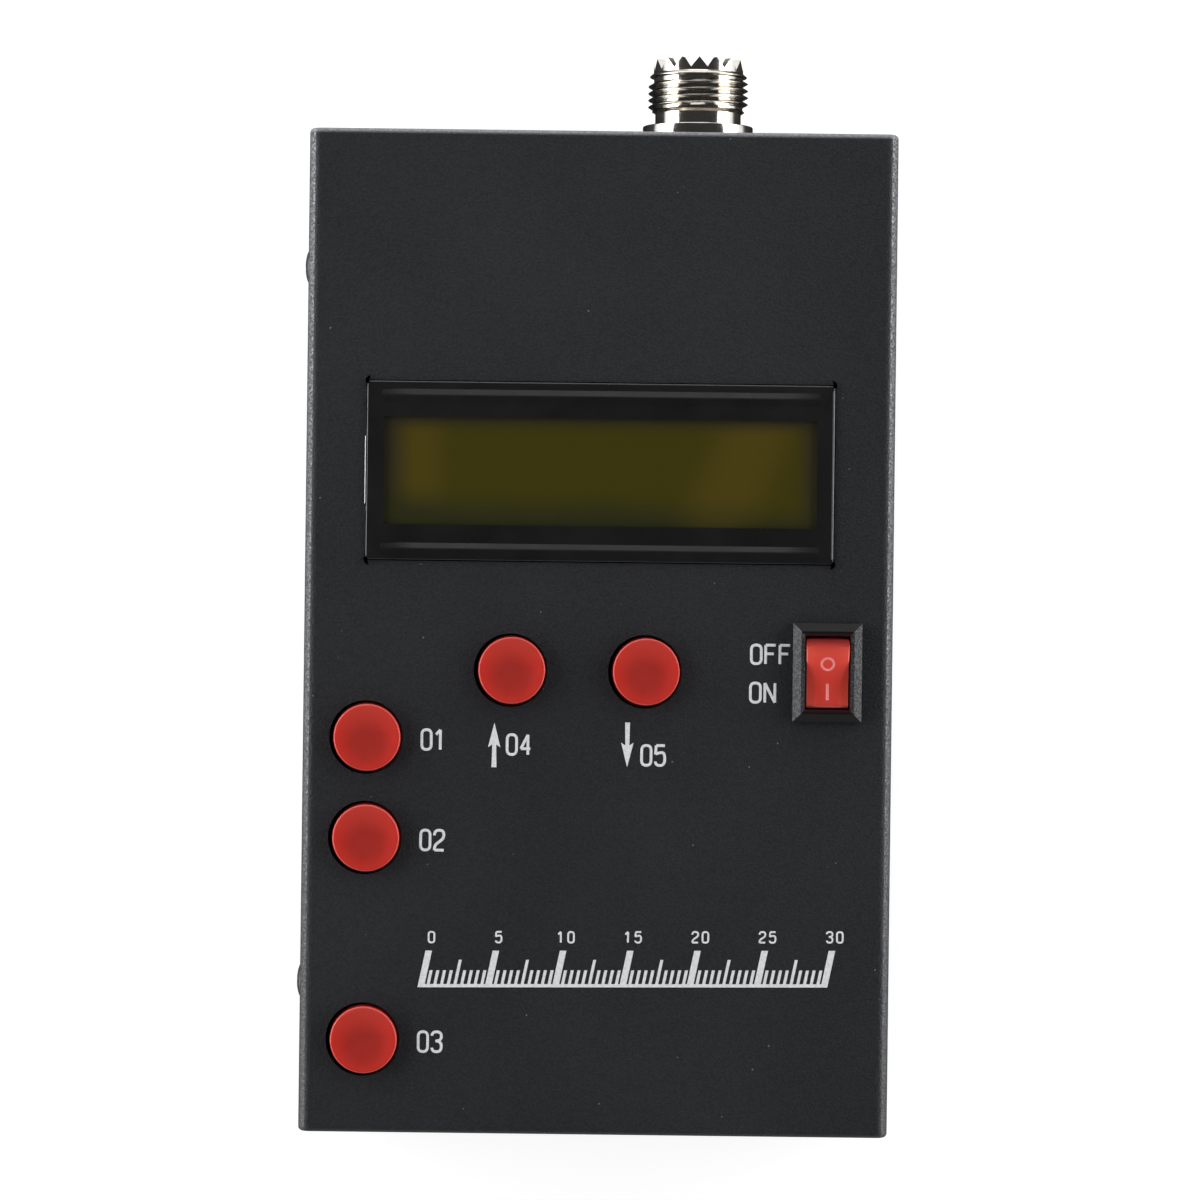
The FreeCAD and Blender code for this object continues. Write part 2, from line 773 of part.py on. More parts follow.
def board_chips():
    length = "(chip_length + 2*chip_socket_margin)"
    width = "(chip_width + 2*chip_socket_margin)"
    keep(slab("controller_socket", ("0", "-chip_row"), board_top, (length, width, "chip_socket_height")),
         "controller_socket")
    keep(slab("controller_chip", ("0", "-chip_row"), f"{board_top} + chip_socket_height",
              ("chip_length", "chip_width", "chip_height")), "controller_chip")
    keep(slab("synthesizer_chip", ("synth_side", "-synth_row"), board_top,
              ("synth_length", "synth_width", "synth_height")), "synthesizer_chip")
    can = "(crystal_length - crystal_width)"
    pieces = [slab("crystal_middle", ("-crystal_side", "-synth_row"), board_top,
                   (can, "crystal_width", "crystal_height"))]
    for turn, sign in enumerate("+-"):
        end_spot = (f"-crystal_side {sign} {can}/2", "-synth_row", board_top)
        pieces.append(rod(f"crystal_end{turn}", end_spot, "crystal_width/2", "crystal_height"))
    keep(join("oscillator_crystal", pieces), "oscillator_crystal")
    package = slab("regulator_package", ("regulator_side", "-regulator_row"), board_top,
                   ("regulator_width", "regulator_length", "regulator_height"))
    tab = box("regulator_tab_plate",
              ("regulator_side - regulator_width/2", "-regulator_row + regulator_length/2", board_top),
              ("regulator_width", "regulator_tab", "regulator_tab_thick"))
    keep(join("voltage_regulator", [package, tab]), "voltage_regulator")
    cans = [
        rod(f"capacitor{turn}", (across, "-capacitor_row", board_top), "capacitor_radius",
            "capacitor_height")
        for turn, across in enumerate(("capacitor_side", "capacitor_side - 3*capacitor_radius"))
    ]
    keep(group("electrolytic_capacitors", cans), "electrolytic_capacitors")
    trimmer = slab("trimmer_case", ("-trimmer_side", "trimmer_row"), board_top,
                   ("trimmer_width", "trimmer_width", "trimmer_height"))
    slot_foot = f"{board_top} + trimmer_height - recess_depth"
    slot = slab("trimmer_slot", ("-trimmer_side", "trimmer_row"), slot_foot,
                ("recess_length", "recess_width", "recess_depth"))
    keep(cut("contrast_trimmer", trimmer, slot), "contrast_trimmer")


def toroids():
    cores, rings = [], []
    lift = "(toroid_core + 2*toroid_wire)"
    for turn in range(2):
        across = f"toroid_side - {turn}*toroid_spacing"
        core = doc.addObject("Part::Torus", f"toroid{turn}")
        core.setExpression("Radius1", bound("toroid_radius"))
        core.setExpression("Radius2", bound("toroid_core"))
        cores.append(move(core, (across, "toroid_row", f"{board_top} + {lift}")))
        for step in range(sizes["toroid_turns"]):
            angle = 360 * step / sizes["toroid_turns"]
            ring = doc.addObject("Part::Torus", f"toroid{turn}_ring{step}")
            ring.setExpression("Radius1", bound("toroid_core + toroid_wire"))
            ring.setExpression("Radius2", bound("toroid_wire"))
            tangent = Rotation(Z_AXIS, angle).multVec(Y_AXIS)
            spot = (f"{across} + toroid_radius*cos({angle})", f"toroid_row + toroid_radius*sin({angle})",
                    f"{board_top} + {lift}")
            rings.append(move(ring, spot, Rotation(Z_AXIS, tangent)))
    keep(group("toroid_cores", cores), "toroid_cores")
    keep(group("toroid_windings", rings), "toroid_windings")


# Display module


def lcd_board():
    body = new_body("lcd_board")
    plate = sketch(body, "lcd_plate", "XY_Plane", lcd_under)
    rectangle(plate, "0", "lcd_row", "lcd_board_width", "lcd_board_depth")
    pad(body, plate, "board_thick")
    holes = sketch(body, "lcd_holes", "XY_Plane", lcd_top)
    for across, up in lcd_spots:
        circle(holes, across, up, "lcd_screw_radius + screw_slack")
    for across, up in pin_spots:
        circle(holes, across, up, "pin_hole")
    pocket(body, holes, "board_thick")
    keep(body, "lcd_board")


def lcd_bezel():
    body = new_body("lcd_bezel")
    top = f"({face} + bezel_proud)"
    tub = sketch(body, "bezel_outline", "XY_Plane", lcd_top)
    rectangle(tub, "0", "lcd_row", "bezel_width", "bezel_depth")
    pad(body, tub, "bezel_height")
    out, high = value("bezel_width/2"), value(top)
    ease(body, "bezel_corners", "bezel_corner", lambda b: near(b.ZLength, value("bezel_height")))
    ease(body, "bezel_top_edge", "bezel_round",
         lambda b: near(b.ZMin, high) and (near(b.XLength, 0) or b.XLength > out or b.XLength < 1))
    inside = sketch(body, "bezel_inside", "XY_Plane", lcd_top)
    rectangle(inside, "0", "lcd_row", "(bezel_width - 2*bezel_gauge)", "(bezel_depth - 2*bezel_gauge)")
    pocket(body, inside, "bezel_height - bezel_gauge", back=True)
    window = sketch(body, "bezel_window", "XY_Plane", top)
    rectangle(window, "0", "lcd_row", "window_width", "window_depth")
    pocket(body, window, "2*bezel_gauge")
    ribs = sketch(body, "bezel_ribs", "XY_Plane", top)
    for sign in ("+", "-"):
        rectangle(ribs, "0", f"lcd_row {sign} (bezel_depth/2 - rib_inset)", "rib_length", "rib_width")
    pad(body, ribs, "rib_height")
    level = value(f"{top} + rib_height")
    ease(body, "bezel_rib_edges", "rib_height*0.8", lambda b: near(b.ZMin, level), "Chamfer")
    bulge = sketch(body, "bezel_bulge", "XY_Plane", lcd_top)
    rectangle(bulge, "-(bezel_width/2)", "lcd_row", "(2*bulge_width)", "bulge_length")
    pad(body, bulge, "bezel_height - bezel_round")
    keep(body, "lcd_bezel")


def display_stack():
    width = "(bezel_width - 2*bezel_gauge - 2*glass_gap)"
    depth = "(bezel_depth - 2*bezel_gauge - 2*glass_gap)"
    keep(slab("lcd_glass", ("0", "lcd_row"), glass_under, (width, depth, "glass_thick")), "lcd_glass")
    height = f"({glass_under} - {lcd_top})"
    strip_row = f"({depth}/2 - strip_width/2)"
    strips = [
        slab(f"contact_strip{turn}", ("0", f"lcd_row {sign} {strip_row}"), lcd_top,
             ("strip_length", "strip_width", height))
        for turn, sign in enumerate("+-")
    ]
    keep(group("lcd_contact_strips", strips), "lcd_contact_strips")
    keep(slab("lcd_backlight", ("0", "lcd_row"), lcd_top, (width, f"({depth} - 2*strip_width)", height)),
         "lcd_backlight")
    drops = [
        cone(f"driver{turn}", (f"{sign}driver_offset", "lcd_row", lcd_under), "driver_radius",
             "driver_radius - driver_height", "driver_height", "down")
        for turn, sign in enumerate(("", "-"))
    ]
    keep(group("lcd_driver_chips", drops), "lcd_driver_chips")
    pins = [
        slab(f"pin{turn}", spot, f"{board_under} - pin_tail",
             ("pin_width", "pin_width", f"({lcd_top} + pin_tail - {board_under} + pin_tail)"))
        for turn, spot in enumerate(pin_spots)
    ]
    keep(group("lcd_pins", pins), "lcd_pins")
    strip = slab("header_strip", ("7.5*pin_pitch - pin_start", "lcd_row + lcd_hole_row"), board_top,
                 ("16*pin_pitch", "header_depth", "pin_pitch"))
    sleeves = [
        slab(f"pin_sleeve{turn}", spot, board_top, ("pin_width", "pin_width", "pin_pitch"))
        for turn, spot in enumerate(pin_spots)
    ]
    keep(cut("lcd_pin_header", strip, group("pin_sleeves", sleeves)), "lcd_pin_header")
    standoffs, screws = [], []
    for turn, (across, up) in enumerate(lcd_spots):
        post = rod(f"lcd_post{turn}", (across, up, lcd_top), "lcd_standoff_radius", f"{roof} - {lcd_top}")
        bore = rod(f"lcd_post{turn}_bore", (across, up, lcd_top), "lcd_screw_radius + thread_slack",
                   "lcd_screw_bite + screw_slack")
        standoffs.append(cut(f"lcd_post{turn}_cut", post, bore))
        head = rod(f"lcd_screw{turn}_head", (across, up, f"{lcd_under} - lcd_head_height"),
                   "lcd_head_radius", "lcd_head_height")
        shank = rod(f"lcd_screw{turn}_shank", (across, up, lcd_under), "lcd_screw_radius",
                    "board_thick + lcd_screw_bite")
        screws.append(join(f"lcd_screw{turn}", [head, shank]))
    keep(group("lcd_standoffs", standoffs), "lcd_standoffs")
    keep(group("lcd_screws", screws), "lcd_screws")


# Push buttons


def tact_switches():
    bases, plates, domes = [], [], []
    for name, spot in buttons.items():
        block = slab(f"{name}_block", spot, board_top, ("tact_width", "tact_width", "tact_height"))
        well = rod(f"{name}_well", (*spot, cavity_floor), "collar_radius + collar_slack", "tact_cavity")
        bases.append(cut(f"{name}_base", block, well))
        plate = slab(f"{name}_plate", spot, plate_under, ("tact_width", "tact_width", "tact_plate"))
        hole = rod(f"{name}_hole", (*spot, plate_under), "stem_radius + stem_slack", "tact_plate")
        plates.append(cut(f"{name}_cover", plate, hole))
        domes.append(cone(f"{name}_dome", (*spot, cavity_floor), "dome_radius", "dome_radius/2",
                          "dome_height"))
    keep(group("switch_bases", bases), "switch_bases")
    keep(group("switch_covers", plates), "switch_covers")
    keep(group("switch_domes", domes), "switch_domes")


def button(name, across, up):
    stem = new_body(f"{name}_button_stem", (across, up, "0"))
    profile = sketch(stem, f"{name}_stem_profile", "XZ_Plane")
    outline(profile, [
        ("0", stem_foot),
        ("collar_radius", stem_foot),
        ("collar_radius", f"{plate_under} - collar_play"),
        ("stem_radius", f"{plate_under} - collar_play"),
        ("stem_radius", stem_top),
        ("0", stem_top),
    ])
    revolve(stem, profile)
    keep(stem, f"{name}_button_stem")
    cap = new_body(f"{name}_button_cap", (across, up, "0"))
    profile = sketch(cap, f"{name}_cap_profile", "XZ_Plane")
    skirt = f"{cap_top} - cap_height"
    ceiling = f"{stem_top} + cap_roof*0.1"
    outline(profile, [
        ("stem_radius + thread_slack", skirt),
        ("stem_radius + stem_boss", skirt),
        ("stem_radius + stem_boss", ceiling),
        ("cap_radius - cap_wall", ceiling),
        ("cap_radius - cap_wall", skirt),
        ("cap_radius", skirt),
        ("cap_radius", f"{cap_top} - cap_round"),
        ("cap_radius - cap_round", cap_top, "cap_round"),
        ("dish_radius", cap_top),
        ("0", f"{cap_top} - dish_depth", "(dish_radius^2 + dish_depth^2)/(2*dish_depth)", "inwards"),
        ("0", stem_top),
        ("stem_radius + thread_slack", stem_top),
    ])
    revolve(cap, profile)
    keep(cap, f"{name}_button_cap")


# Rocker switch


def rocker_frame():
    body = new_body("rocker_frame", ("rocker_side", "-rocker_row", face))
    flange = sketch(body, "frame_flange", "XY_Plane")
    rectangle(flange, "0", "0", "flange_width", "flange_length")
    pad(body, flange, "flange_height")
    ease(body, "frame_bevel", "flange_bevel", lambda b: near(b.ZMin, value("flange_height")), "Chamfer")
    barrel = sketch(body, "frame_barrel", "XY_Plane", "-barrel_drop")
    rectangle(barrel, "0", "0", "barrel_width", "barrel_length")
    pad(body, barrel, "barrel_drop")
    wings = sketch(body, "frame_wings", "YZ_Plane")
    half, top = "barrel_length/2", "-gauge - barrel_fit"
    outline(wings, [
        (f"{half} - wing_reach", f"{top} - wing_drop"),
        (half, f"{top} - wing_drop"),
        (f"{half} + wing_reach", top),
        (f"{half} - wing_reach", top),
    ])
    outline(wings, [
        (f"-{half}", f"{top} - wing_drop"),
        (f"-{half} + wing_reach", f"{top} - wing_drop"),
        (f"-{half} + wing_reach", top),
        (f"-{half} - wing_reach", top),
    ])
    pad(body, wings, "wing_width", middle=True)
    opening = sketch(body, "frame_opening", "XY_Plane", "flange_height")
    rectangle(opening, "0", "0", opening_width, opening_length)
    pocket(body, opening, "flange_height + barrel_drop - barrel_floor")
    pivot = sketch(body, "frame_pivot", "YZ_Plane")
    circle(pivot, "0", "-pivot_drop", "pivot_radius + pivot_slack")
    pocket(body, pivot, f"{opening_width} + 2*pivot_reach + 2*pivot_slack", middle=True)
    slots = sketch(body, "frame_slots", "XY_Plane", "-barrel_drop + barrel_floor")
    for up in ("0", "terminal_offset"):
        rectangle(slots, "0", up, "(terminal_width + 2*thread_slack)", "(terminal_thick + 2*thread_slack)")
    pocket(body, slots, "barrel_floor")
    keep(body, "rocker_frame")


def tip(body, angle):
    """Turns a body about its own crosswise axis by an angle from the sheet."""
    body.setExpression("Placement.Rotation.Angle", bound(angle))
    return body


def rocker():
    body = new_body("rocker", ("rocker_side", "-rocker_row", pivot_z), Rotation(X_AXIS, 1))
    tip(body, "rocker_swing")
    shape = sketch(body, "rocker_side_view", "YZ_Plane")
    crest = f"sqrt({sweep}^2 - lever_rise^2)"
    keel = f"sqrt({sweep}^2 - lever_keel^2)"
    outline(shape, [
        (f"-{keel}", "-lever_keel", sweep),
        (keel, "-lever_keel"),
        (crest, "lever_rise", sweep),
        ("0", "lever_valley"),
        (f"-{crest}", "lever_rise"),
    ])
    width = f"({opening_width} - 2*lever_side_gap)"
    pad(body, shape, width, middle=True)
    crest_y, top = value(crest), value("lever_rise")
    ease(body, "rocker_crests", "lever_round",
         lambda b: near(b.XLength, value(width)) and near(abs(b.YMin), crest_y) and near(b.ZMin, top))
    stubs = sketch(body, "rocker_stubs", "YZ_Plane")
    circle(stubs, "0", "0", "pivot_radius")
    pad(body, stubs, f"{opening_width} + 2*pivot_reach - 2*pivot_slack", middle=True)
    boss = sketch(body, "rocker_boss", "XY_Plane", "-boss_drop")
    circle(boss, "0", "0", "plunger_boss")
    pad(body, boss, "boss_drop")
    bore = sketch(body, "rocker_bore", "XY_Plane", "bore_top")
    circle(bore, "0", "0", "plunger_radius + plunger_slack")
    pocket(body, bore, "bore_top + boss_drop")
    keep(body, "rocker")


def rocker_works():
    pivot = ("rocker_side", "-rocker_row", pivot_z)
    stick = rod("plunger_stick", ("0", "0", "-plunger_reach + plunger_radius"), "plunger_radius",
                "plunger_length - plunger_radius")
    nose = doc.addObject("Part::Sphere", "plunger_nose")
    nose.setExpression("Radius", bound("plunger_radius"))
    move(nose, ("0", "0", "-plunger_reach + plunger_radius"))
    whole = move(join("rocker_plunger", [stick, nose]), pivot, Rotation(X_AXIS, 1))
    keep(tip(whole, "rocker_swing"), "rocker_plunger")
    coil = doc.addObject("Part::Helix", "spring_path")
    room = "(bore_top + plunger_reach - plunger_length)"
    coil.setExpression("Height", bound(f"{room} - 2*spring_wire"))
    coil.setExpression("Pitch", bound(f"({room} - 2*spring_wire)/spring_turns"))
    coil.setExpression("Radius", bound("plunger_radius - 2*spring_wire"))
    coil.SegmentLength = 1  # a face to each turn, which meshes evenly
    move(coil, ("0", "0", "-plunger_reach + plunger_length + spring_wire"))
    wire = doc.addObject("Part::Circle", "spring_section")
    wire.setExpression("Radius", bound("spring_wire"))
    move(wire, ("plunger_radius - 2*spring_wire", "0", "-plunger_reach + plunger_length + spring_wire"),
         facing["front"])
    spring = doc.addObject("Part::Sweep", "spring_coil")
    spring.Sections = [wire]
    spring.Spine = (coil, [])
    spring.Solid = True
    spring.Frenet = True
    whole = move(group("rocker_spring", [spring]), pivot, Rotation(X_AXIS, 1))
    keep(tip(whole, "rocker_swing"), "rocker_spring")
    blade = new_body("rocker_blade", ("rocker_side", "-rocker_row", blade_z), Rotation(X_AXIS, 1))
    tip(blade, "-blade_swing")
    plan = sketch(blade, "blade_plan", "XY_Plane")
    rectangle(plan, "0", "0", "blade_width", "blade_length")
    pad(blade, plan, "blade_thick")
    keep(blade, "rocker_blade")
    foot = f"({face} - barrel_drop - terminal_tail)"
    tops = (f"{blade_z} - blade_rest", f"{blade_z} - terminal_offset*sin(blade_swing) - blade_rest")
    strips = [
        slab(f"terminal{turn}", ("rocker_side", f"-rocker_row + {turn}*terminal_offset"), foot,
             ("terminal_width", "terminal_thick", f"({top} - {foot})"))
        for turn, top in enumerate(tops)
    ]
    keep(group("rocker_terminals", strips), "rocker_terminals")


# Coaxial socket, drawn with its own +Z out of the upper end wall


def socket_shell():
    body = new_body("socket_shell", ("socket_side", end, socket_z), facing["back"])
    profile = sketch(body, "shell_profile", "XZ_Plane")
    points = [
        (shell_bore, "-shank_length"),
        ("shank_radius", "-shank_length"),
        ("shank_radius", "0"),
        ("socket_flange_radius", "0"),
        ("socket_flange_radius", "socket_flange_thick"),
        ("socket_neck_radius", "socket_flange_thick"),
        ("socket_neck_radius", thread_low),
    ]
    for turn in range(sizes["thread_turns"]):
        points.append((thread_root, f"{thread_low} + {turn}*thread_pitch + thread_pitch*0.1"))
        points.append(("thread_radius", f"{thread_low} + {turn}*thread_pitch + thread_pitch*0.45"))
        points.append(("thread_radius", f"{thread_low} + {turn}*thread_pitch + thread_pitch*0.6"))
    points += [
        (thread_root, thread_high),
        ("(crown_radius + crown_lip)", thread_high),
        ("crown_radius", f"{thread_high} + crown_lip"),
        ("crown_radius", crown_high),
        (shell_bore, crown_high),
    ]
    outline(profile, points)
    revolve(body, profile)
    gap = sketch(body, "crown_gap", "XZ_Plane")
    half = "(crown_radius*sin(180/crown_teeth) - crown_tip/2)"
    outline(gap, [("0", crown_low), (half, crown_high), (f"-{half}", crown_high)])
    first = pocket(body, gap, "2*crown_radius")
    ring = body.newObject("PartDesign::PolarPattern", "crown_gaps")
    ring.Originals = [first]
    ring.Axis = (next(item for item in body.Origin.OriginFeatures if item.Role == "Z_Axis"), [""])
    ring.Angle = 360
    ring.setExpression("Occurrences", bound("crown_teeth"))
    body.Tip = ring
    keep(body, "socket_shell")


def socket_inside():
    at = ("socket_side", end, socket_z)
    insulator = new_body("socket_insulator", at, facing["back"])
    profile = sketch(insulator, "insulator_profile", "XZ_Plane")
    front = f"({crown_low} - insulator_sink)"
    rear = "(-shank_length - insulator_tail)"
    radius = "(contact_bore + contact_wall)"
    outline(profile, [(radius, rear), (shell_bore, rear), (shell_bore, front), (radius, front)])
    revolve(insulator, profile)
    keep(insulator, "socket_insulator")
    contact = new_body("socket_contact", at, facing["back"])
    profile = sketch(contact, "contact_profile", "XZ_Plane")
    mouth = f"({front} - contact_sink)"
    cup = f"({rear} - cup_length)"
    outline(profile, [
        ("lead_radius + thread_slack", cup),
        ("cup_radius", cup),
        ("cup_radius", rear),
        (radius, rear),
        (radius, mouth),
        ("contact_bore", mouth),
        ("contact_bore", f"{mouth} - contact_depth"),
        ("0", f"{mouth} - contact_depth"),
        ("0", f"{cup} + cup_length/2"),
        ("lead_radius + thread_slack", f"{cup} + cup_length/2"),
    ])
    revolve(contact, profile)
    for role in ("XZ_Plane", "YZ_Plane"):
        slit = sketch(contact, f"contact_slit_{role[:2].lower()}", role)
        rectangle(slit, "0", f"({mouth} - contact_slit_depth/2)", "contact_slit", "contact_slit_depth")
        pocket(contact, slit, f"4*{radius}", middle=True)
    keep(contact, "socket_contact")
    back = f"({end} - gauge)"
    bores = [
        rod(f"shank_bore{turn}", ("socket_side", f"{end} + gauge", socket_z),
            "shank_radius + thread_slack", "case_height", "front")
        for turn in range(3)
    ]
    washer = rod("washer_disc", ("socket_side", back, socket_z), "washer_radius", "washer_thick", "front")
    keep(cut("socket_washer", washer, bores[0]), "socket_washer")
    lug_y = f"({back} - washer_thick)"
    disc = rod("lug_disc", ("socket_side", lug_y, socket_z), "lug_radius", "lug_thick", "front")
    tongue = box("lug_tongue", ("socket_side", f"{lug_y} - lug_thick", f"{socket_z} - lug_width/2"),
                 ("lug_reach", "lug_thick", "lug_width"))
    keep(cut("socket_lug", join("lug_blank", [disc, tongue]), bores[1]), "socket_lug")
    nut = hexagon("socket_nut_blank", ("socket_side", f"{lug_y} - lug_thick", socket_z), "socket_nut_flats",
                  "socket_nut_thick", "front")
    keep(cut("socket_nut", nut, bores[2]), "socket_nut")


def power_jack():
    body = new_body("jack_body", ("jack_side", f"-{end}", jack_z), facing["front"])
    profile = sketch(body, "jack_profile", "XZ_Plane")
    bottom = "(jack_flange_thick - jack_depth)"
    outline(profile, [
        ("jack_pin_radius", "-jack_length"),
        ("jack_neck_radius", "-jack_length"),
        ("jack_neck_radius", "0"),
        ("jack_flange_radius", "0"),
        ("jack_flange_radius", "jack_flange_thick"),
        ("jack_bore", "jack_flange_thick"),
        ("jack_bore", bottom),
        ("jack_pin_radius", bottom),
    ])
    revolve(body, profile)
    keep(body, "jack_body")
    pin = rod("pin_bar", ("jack_side", f"-{end} + jack_length + jack_tab_length", jack_z), "jack_pin_radius",
              "jack_length + jack_tab_length + jack_flange_thick - jack_pin_sink", "front")
    keep(group("jack_pin", [pin]), "jack_pin")
    tab = box("jack_tab", ("jack_side + jack_tab_offset - jack_tab_thick/2", f"-{end} + jack_length",
                           f"{jack_z} - jack_tab_width/2"),
              ("jack_tab_thick", "jack_tab_length", "jack_tab_width"))
    keep(group("jack_contact", [tab]), "jack_contact")
    seat = ("jack_side", f"-{end} + gauge", jack_z)
    nut = hexagon("jack_nut_blank", seat, "jack_nut_flats", "jack_nut_thick", "back")
    bore = rod("jack_nut_bore", seat, "jack_neck_radius + thread_slack", "jack_nut_thick", "back")
    keep(cut("jack_nut", nut, bore), "jack_nut")


# Wires, drawn as straight runs joined by tangent arcs


def wire(points, radius):
    spots = [point(*spot) for spot in points]
    start, edges = spots[0], []
    for before, here, after in zip(spots, spots[1:], spots[2:]):
        come, leave = (here - before), (after - here)
        half = come.getAngle(leave) / 2
        reach = 0.45 * min(come.Length, leave.Length)
        come.normalize()
        leave.normalize()
        arc_start, arc_end = here - come * reach, here + leave * reach
        inward = (leave - come).normalize()
        bend = reach / math.tan(half)
        middle = here + inward * (bend / math.cos(half) - bend)
        edges.append(Part.LineSegment(start, arc_start).toShape())
        edges.append(Part.Arc(arc_start, middle, arc_end).toShape())
        start = arc_end
    edges.append(Part.LineSegment(start, spots[-1]).toShape())
    path = Part.Wire(edges)
    section = Part.Wire([Part.makeCircle(value(radius), spots[0], spots[1] - spots[0])])
    return path.makePipeShell([section], True, True)


def wires():
    cup_end = f"({end} - shank_length - insulator_tail - cup_length)"
    lead = [
        ("socket_side", f"{cup_end} + cup_length/2", socket_z),
        ("socket_side", f"{cup_end} - 3*lead_radius", socket_z),
        ("socket_side", "board_top_end + lead_radius", f"{board_top} + 3*lead_radius"),
        ("socket_side", "board_top_end - 4*lead_radius", f"{board_top} + 3*lead_radius"),
        ("socket_side", "board_top_end - 4*lead_radius", board_top),
    ]
    lug_y = f"({end} - gauge - washer_thick - lug_thick)"
    lug_x = "(socket_side + lug_reach - lug_width/2)"
    ground = [
        (lug_x, lug_y, socket_z),
        (lug_x, f"(2*{lug_y} + board_top_end)/3", socket_z),
        (lug_x, "board_top_end + lead_radius", f"{board_top} + 3*lead_radius"),
        (lug_x, "board_top_end - 4*lead_radius", f"{board_top} + 3*lead_radius"),
        (lug_x, "board_top_end - 4*lead_radius", board_top),
    ]
    foot = f"({face} - barrel_drop - terminal_tail)"
    tail = f"(-{end} + jack_length + jack_tab_length)"
    tab_x = "(jack_side + jack_tab_offset + lead_radius + jack_tab_thick/2)"
    feeds = [
        [
            ("jack_side", tail, jack_z),
            ("jack_side", f"{tail} + 12", jack_z),
            ("rocker_side - 4", f"{tail} + 30", jack_z),
            ("rocker_side", "-rocker_row - 14", jack_z),
            ("rocker_side", "-rocker_row", f"{jack_z} - 2"),
            ("rocker_side", "-rocker_row", foot),
        ],
        [
            ("rocker_side", "-rocker_row + terminal_offset", foot),
            ("rocker_side", "-rocker_row + terminal_offset", f"{foot} - 5"),
            ("rocker_side - barrel_width", "-rocker_row + terminal_offset + 3", f"{foot} - 5"),
            ("rocker_side - barrel_width", "-rocker_row + terminal_offset + 3", board_under),
        ],
        [
            (tab_x, f"{tail} - jack_tab_length/2", jack_z),
            (tab_x, f"{tail} + 6", jack_z),
            (tab_x, f"{tail} + 6", board_under),
        ],
    ]
    for name, runs in (("signal_wire", [lead]), ("ground_wire", [ground]), ("power_wires", feeds)):
        feature = doc.addObject("Part::Feature", name)
        feature.Shape = Part.makeCompound([wire(run, "lead_radius") for run in runs])
        keep(feature, name)


front_cover()
rear_tray()
wall_screws()
tab_nuts()
rubber_feet()
main_board()
board_carriers()
board_chips()
toroids()
lcd_board()
lcd_bezel()
display_stack()
tact_switches()
for button_name, (button_across, button_up) in buttons.items():
    button(button_name, button_across, button_up)
rocker_frame()
rocker()
rocker_works()
socket_shell()
socket_inside()
power_jack()
wires()

doc.recompute()
for item in doc.Objects:
    if "Invalid" in item.State or "Error" in item.State:
        raise ValueError(f"{item.Name} failed: {item.State}")
for node in nodes:
    if node.Shape.isNull() or not node.Shape.isValid():
        raise ValueError(f"{node.Label} has no sound shape")
os.makedirs("parts", exist_ok=True)
for node in nodes:
    node.Shape.exportStep(f"parts/{node.Label}.step")
print(len(nodes), "sub-parts written")
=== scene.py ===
import json
from math import asin, atan2, cos, degrees, pi, radians, sin

import bmesh
import bpy
from mathutils import Matrix, Vector


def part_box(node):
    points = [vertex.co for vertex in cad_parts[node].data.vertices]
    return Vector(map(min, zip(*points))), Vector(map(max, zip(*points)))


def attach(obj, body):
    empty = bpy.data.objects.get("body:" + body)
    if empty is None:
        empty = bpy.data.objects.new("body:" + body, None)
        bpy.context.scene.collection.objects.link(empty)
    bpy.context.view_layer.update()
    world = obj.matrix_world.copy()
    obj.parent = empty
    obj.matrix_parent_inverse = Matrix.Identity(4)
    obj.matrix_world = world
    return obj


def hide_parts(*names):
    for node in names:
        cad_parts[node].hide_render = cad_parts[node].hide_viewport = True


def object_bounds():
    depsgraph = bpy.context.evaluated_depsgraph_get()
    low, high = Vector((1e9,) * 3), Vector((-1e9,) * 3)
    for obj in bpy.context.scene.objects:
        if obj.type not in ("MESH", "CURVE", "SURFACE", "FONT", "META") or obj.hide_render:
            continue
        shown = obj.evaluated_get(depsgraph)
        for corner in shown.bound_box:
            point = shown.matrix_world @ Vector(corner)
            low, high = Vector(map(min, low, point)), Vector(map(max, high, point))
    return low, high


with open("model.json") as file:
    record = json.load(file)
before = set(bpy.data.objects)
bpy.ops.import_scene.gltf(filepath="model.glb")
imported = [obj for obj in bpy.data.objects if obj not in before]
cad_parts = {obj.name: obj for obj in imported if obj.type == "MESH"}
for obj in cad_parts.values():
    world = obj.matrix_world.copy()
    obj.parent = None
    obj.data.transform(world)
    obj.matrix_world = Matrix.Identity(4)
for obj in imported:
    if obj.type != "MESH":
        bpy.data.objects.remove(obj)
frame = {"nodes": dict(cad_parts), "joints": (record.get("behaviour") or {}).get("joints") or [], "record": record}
cadLow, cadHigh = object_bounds()
mm = 0.001

# The face of the case is where most pieces are counted from, in millimetres
coverLow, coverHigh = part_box("front_cover")
faceMiddle = Vector(((coverLow.x + coverHigh.x) / 2, (coverLow.y + coverHigh.y) / 2, coverHigh.z))


def onFace(x, y, z=0.0):
    return faceMiddle + Vector((x, y, z)) * mm


# Camera and lamps

cameraView = {"lens": 137.9, "x": 0.18, "y": 5.0, "height": 700, "turn": 0.7, "farthest": 20}
lamps = {
    "leftLamp": {"spot": (-620, 90, 185), "size": (820, 390), "power": 6.2},
    "rightLamp": {"spot": (620, 90, 185), "size": (820, 390), "power": 5.1},
    "topLamp": {"spot": (-120, 850, 230), "size": (760, 170), "power": 1.8},
    "highLamp": {"spot": (0, 570, 850), "size": (600, 180), "power": 0.6},
}


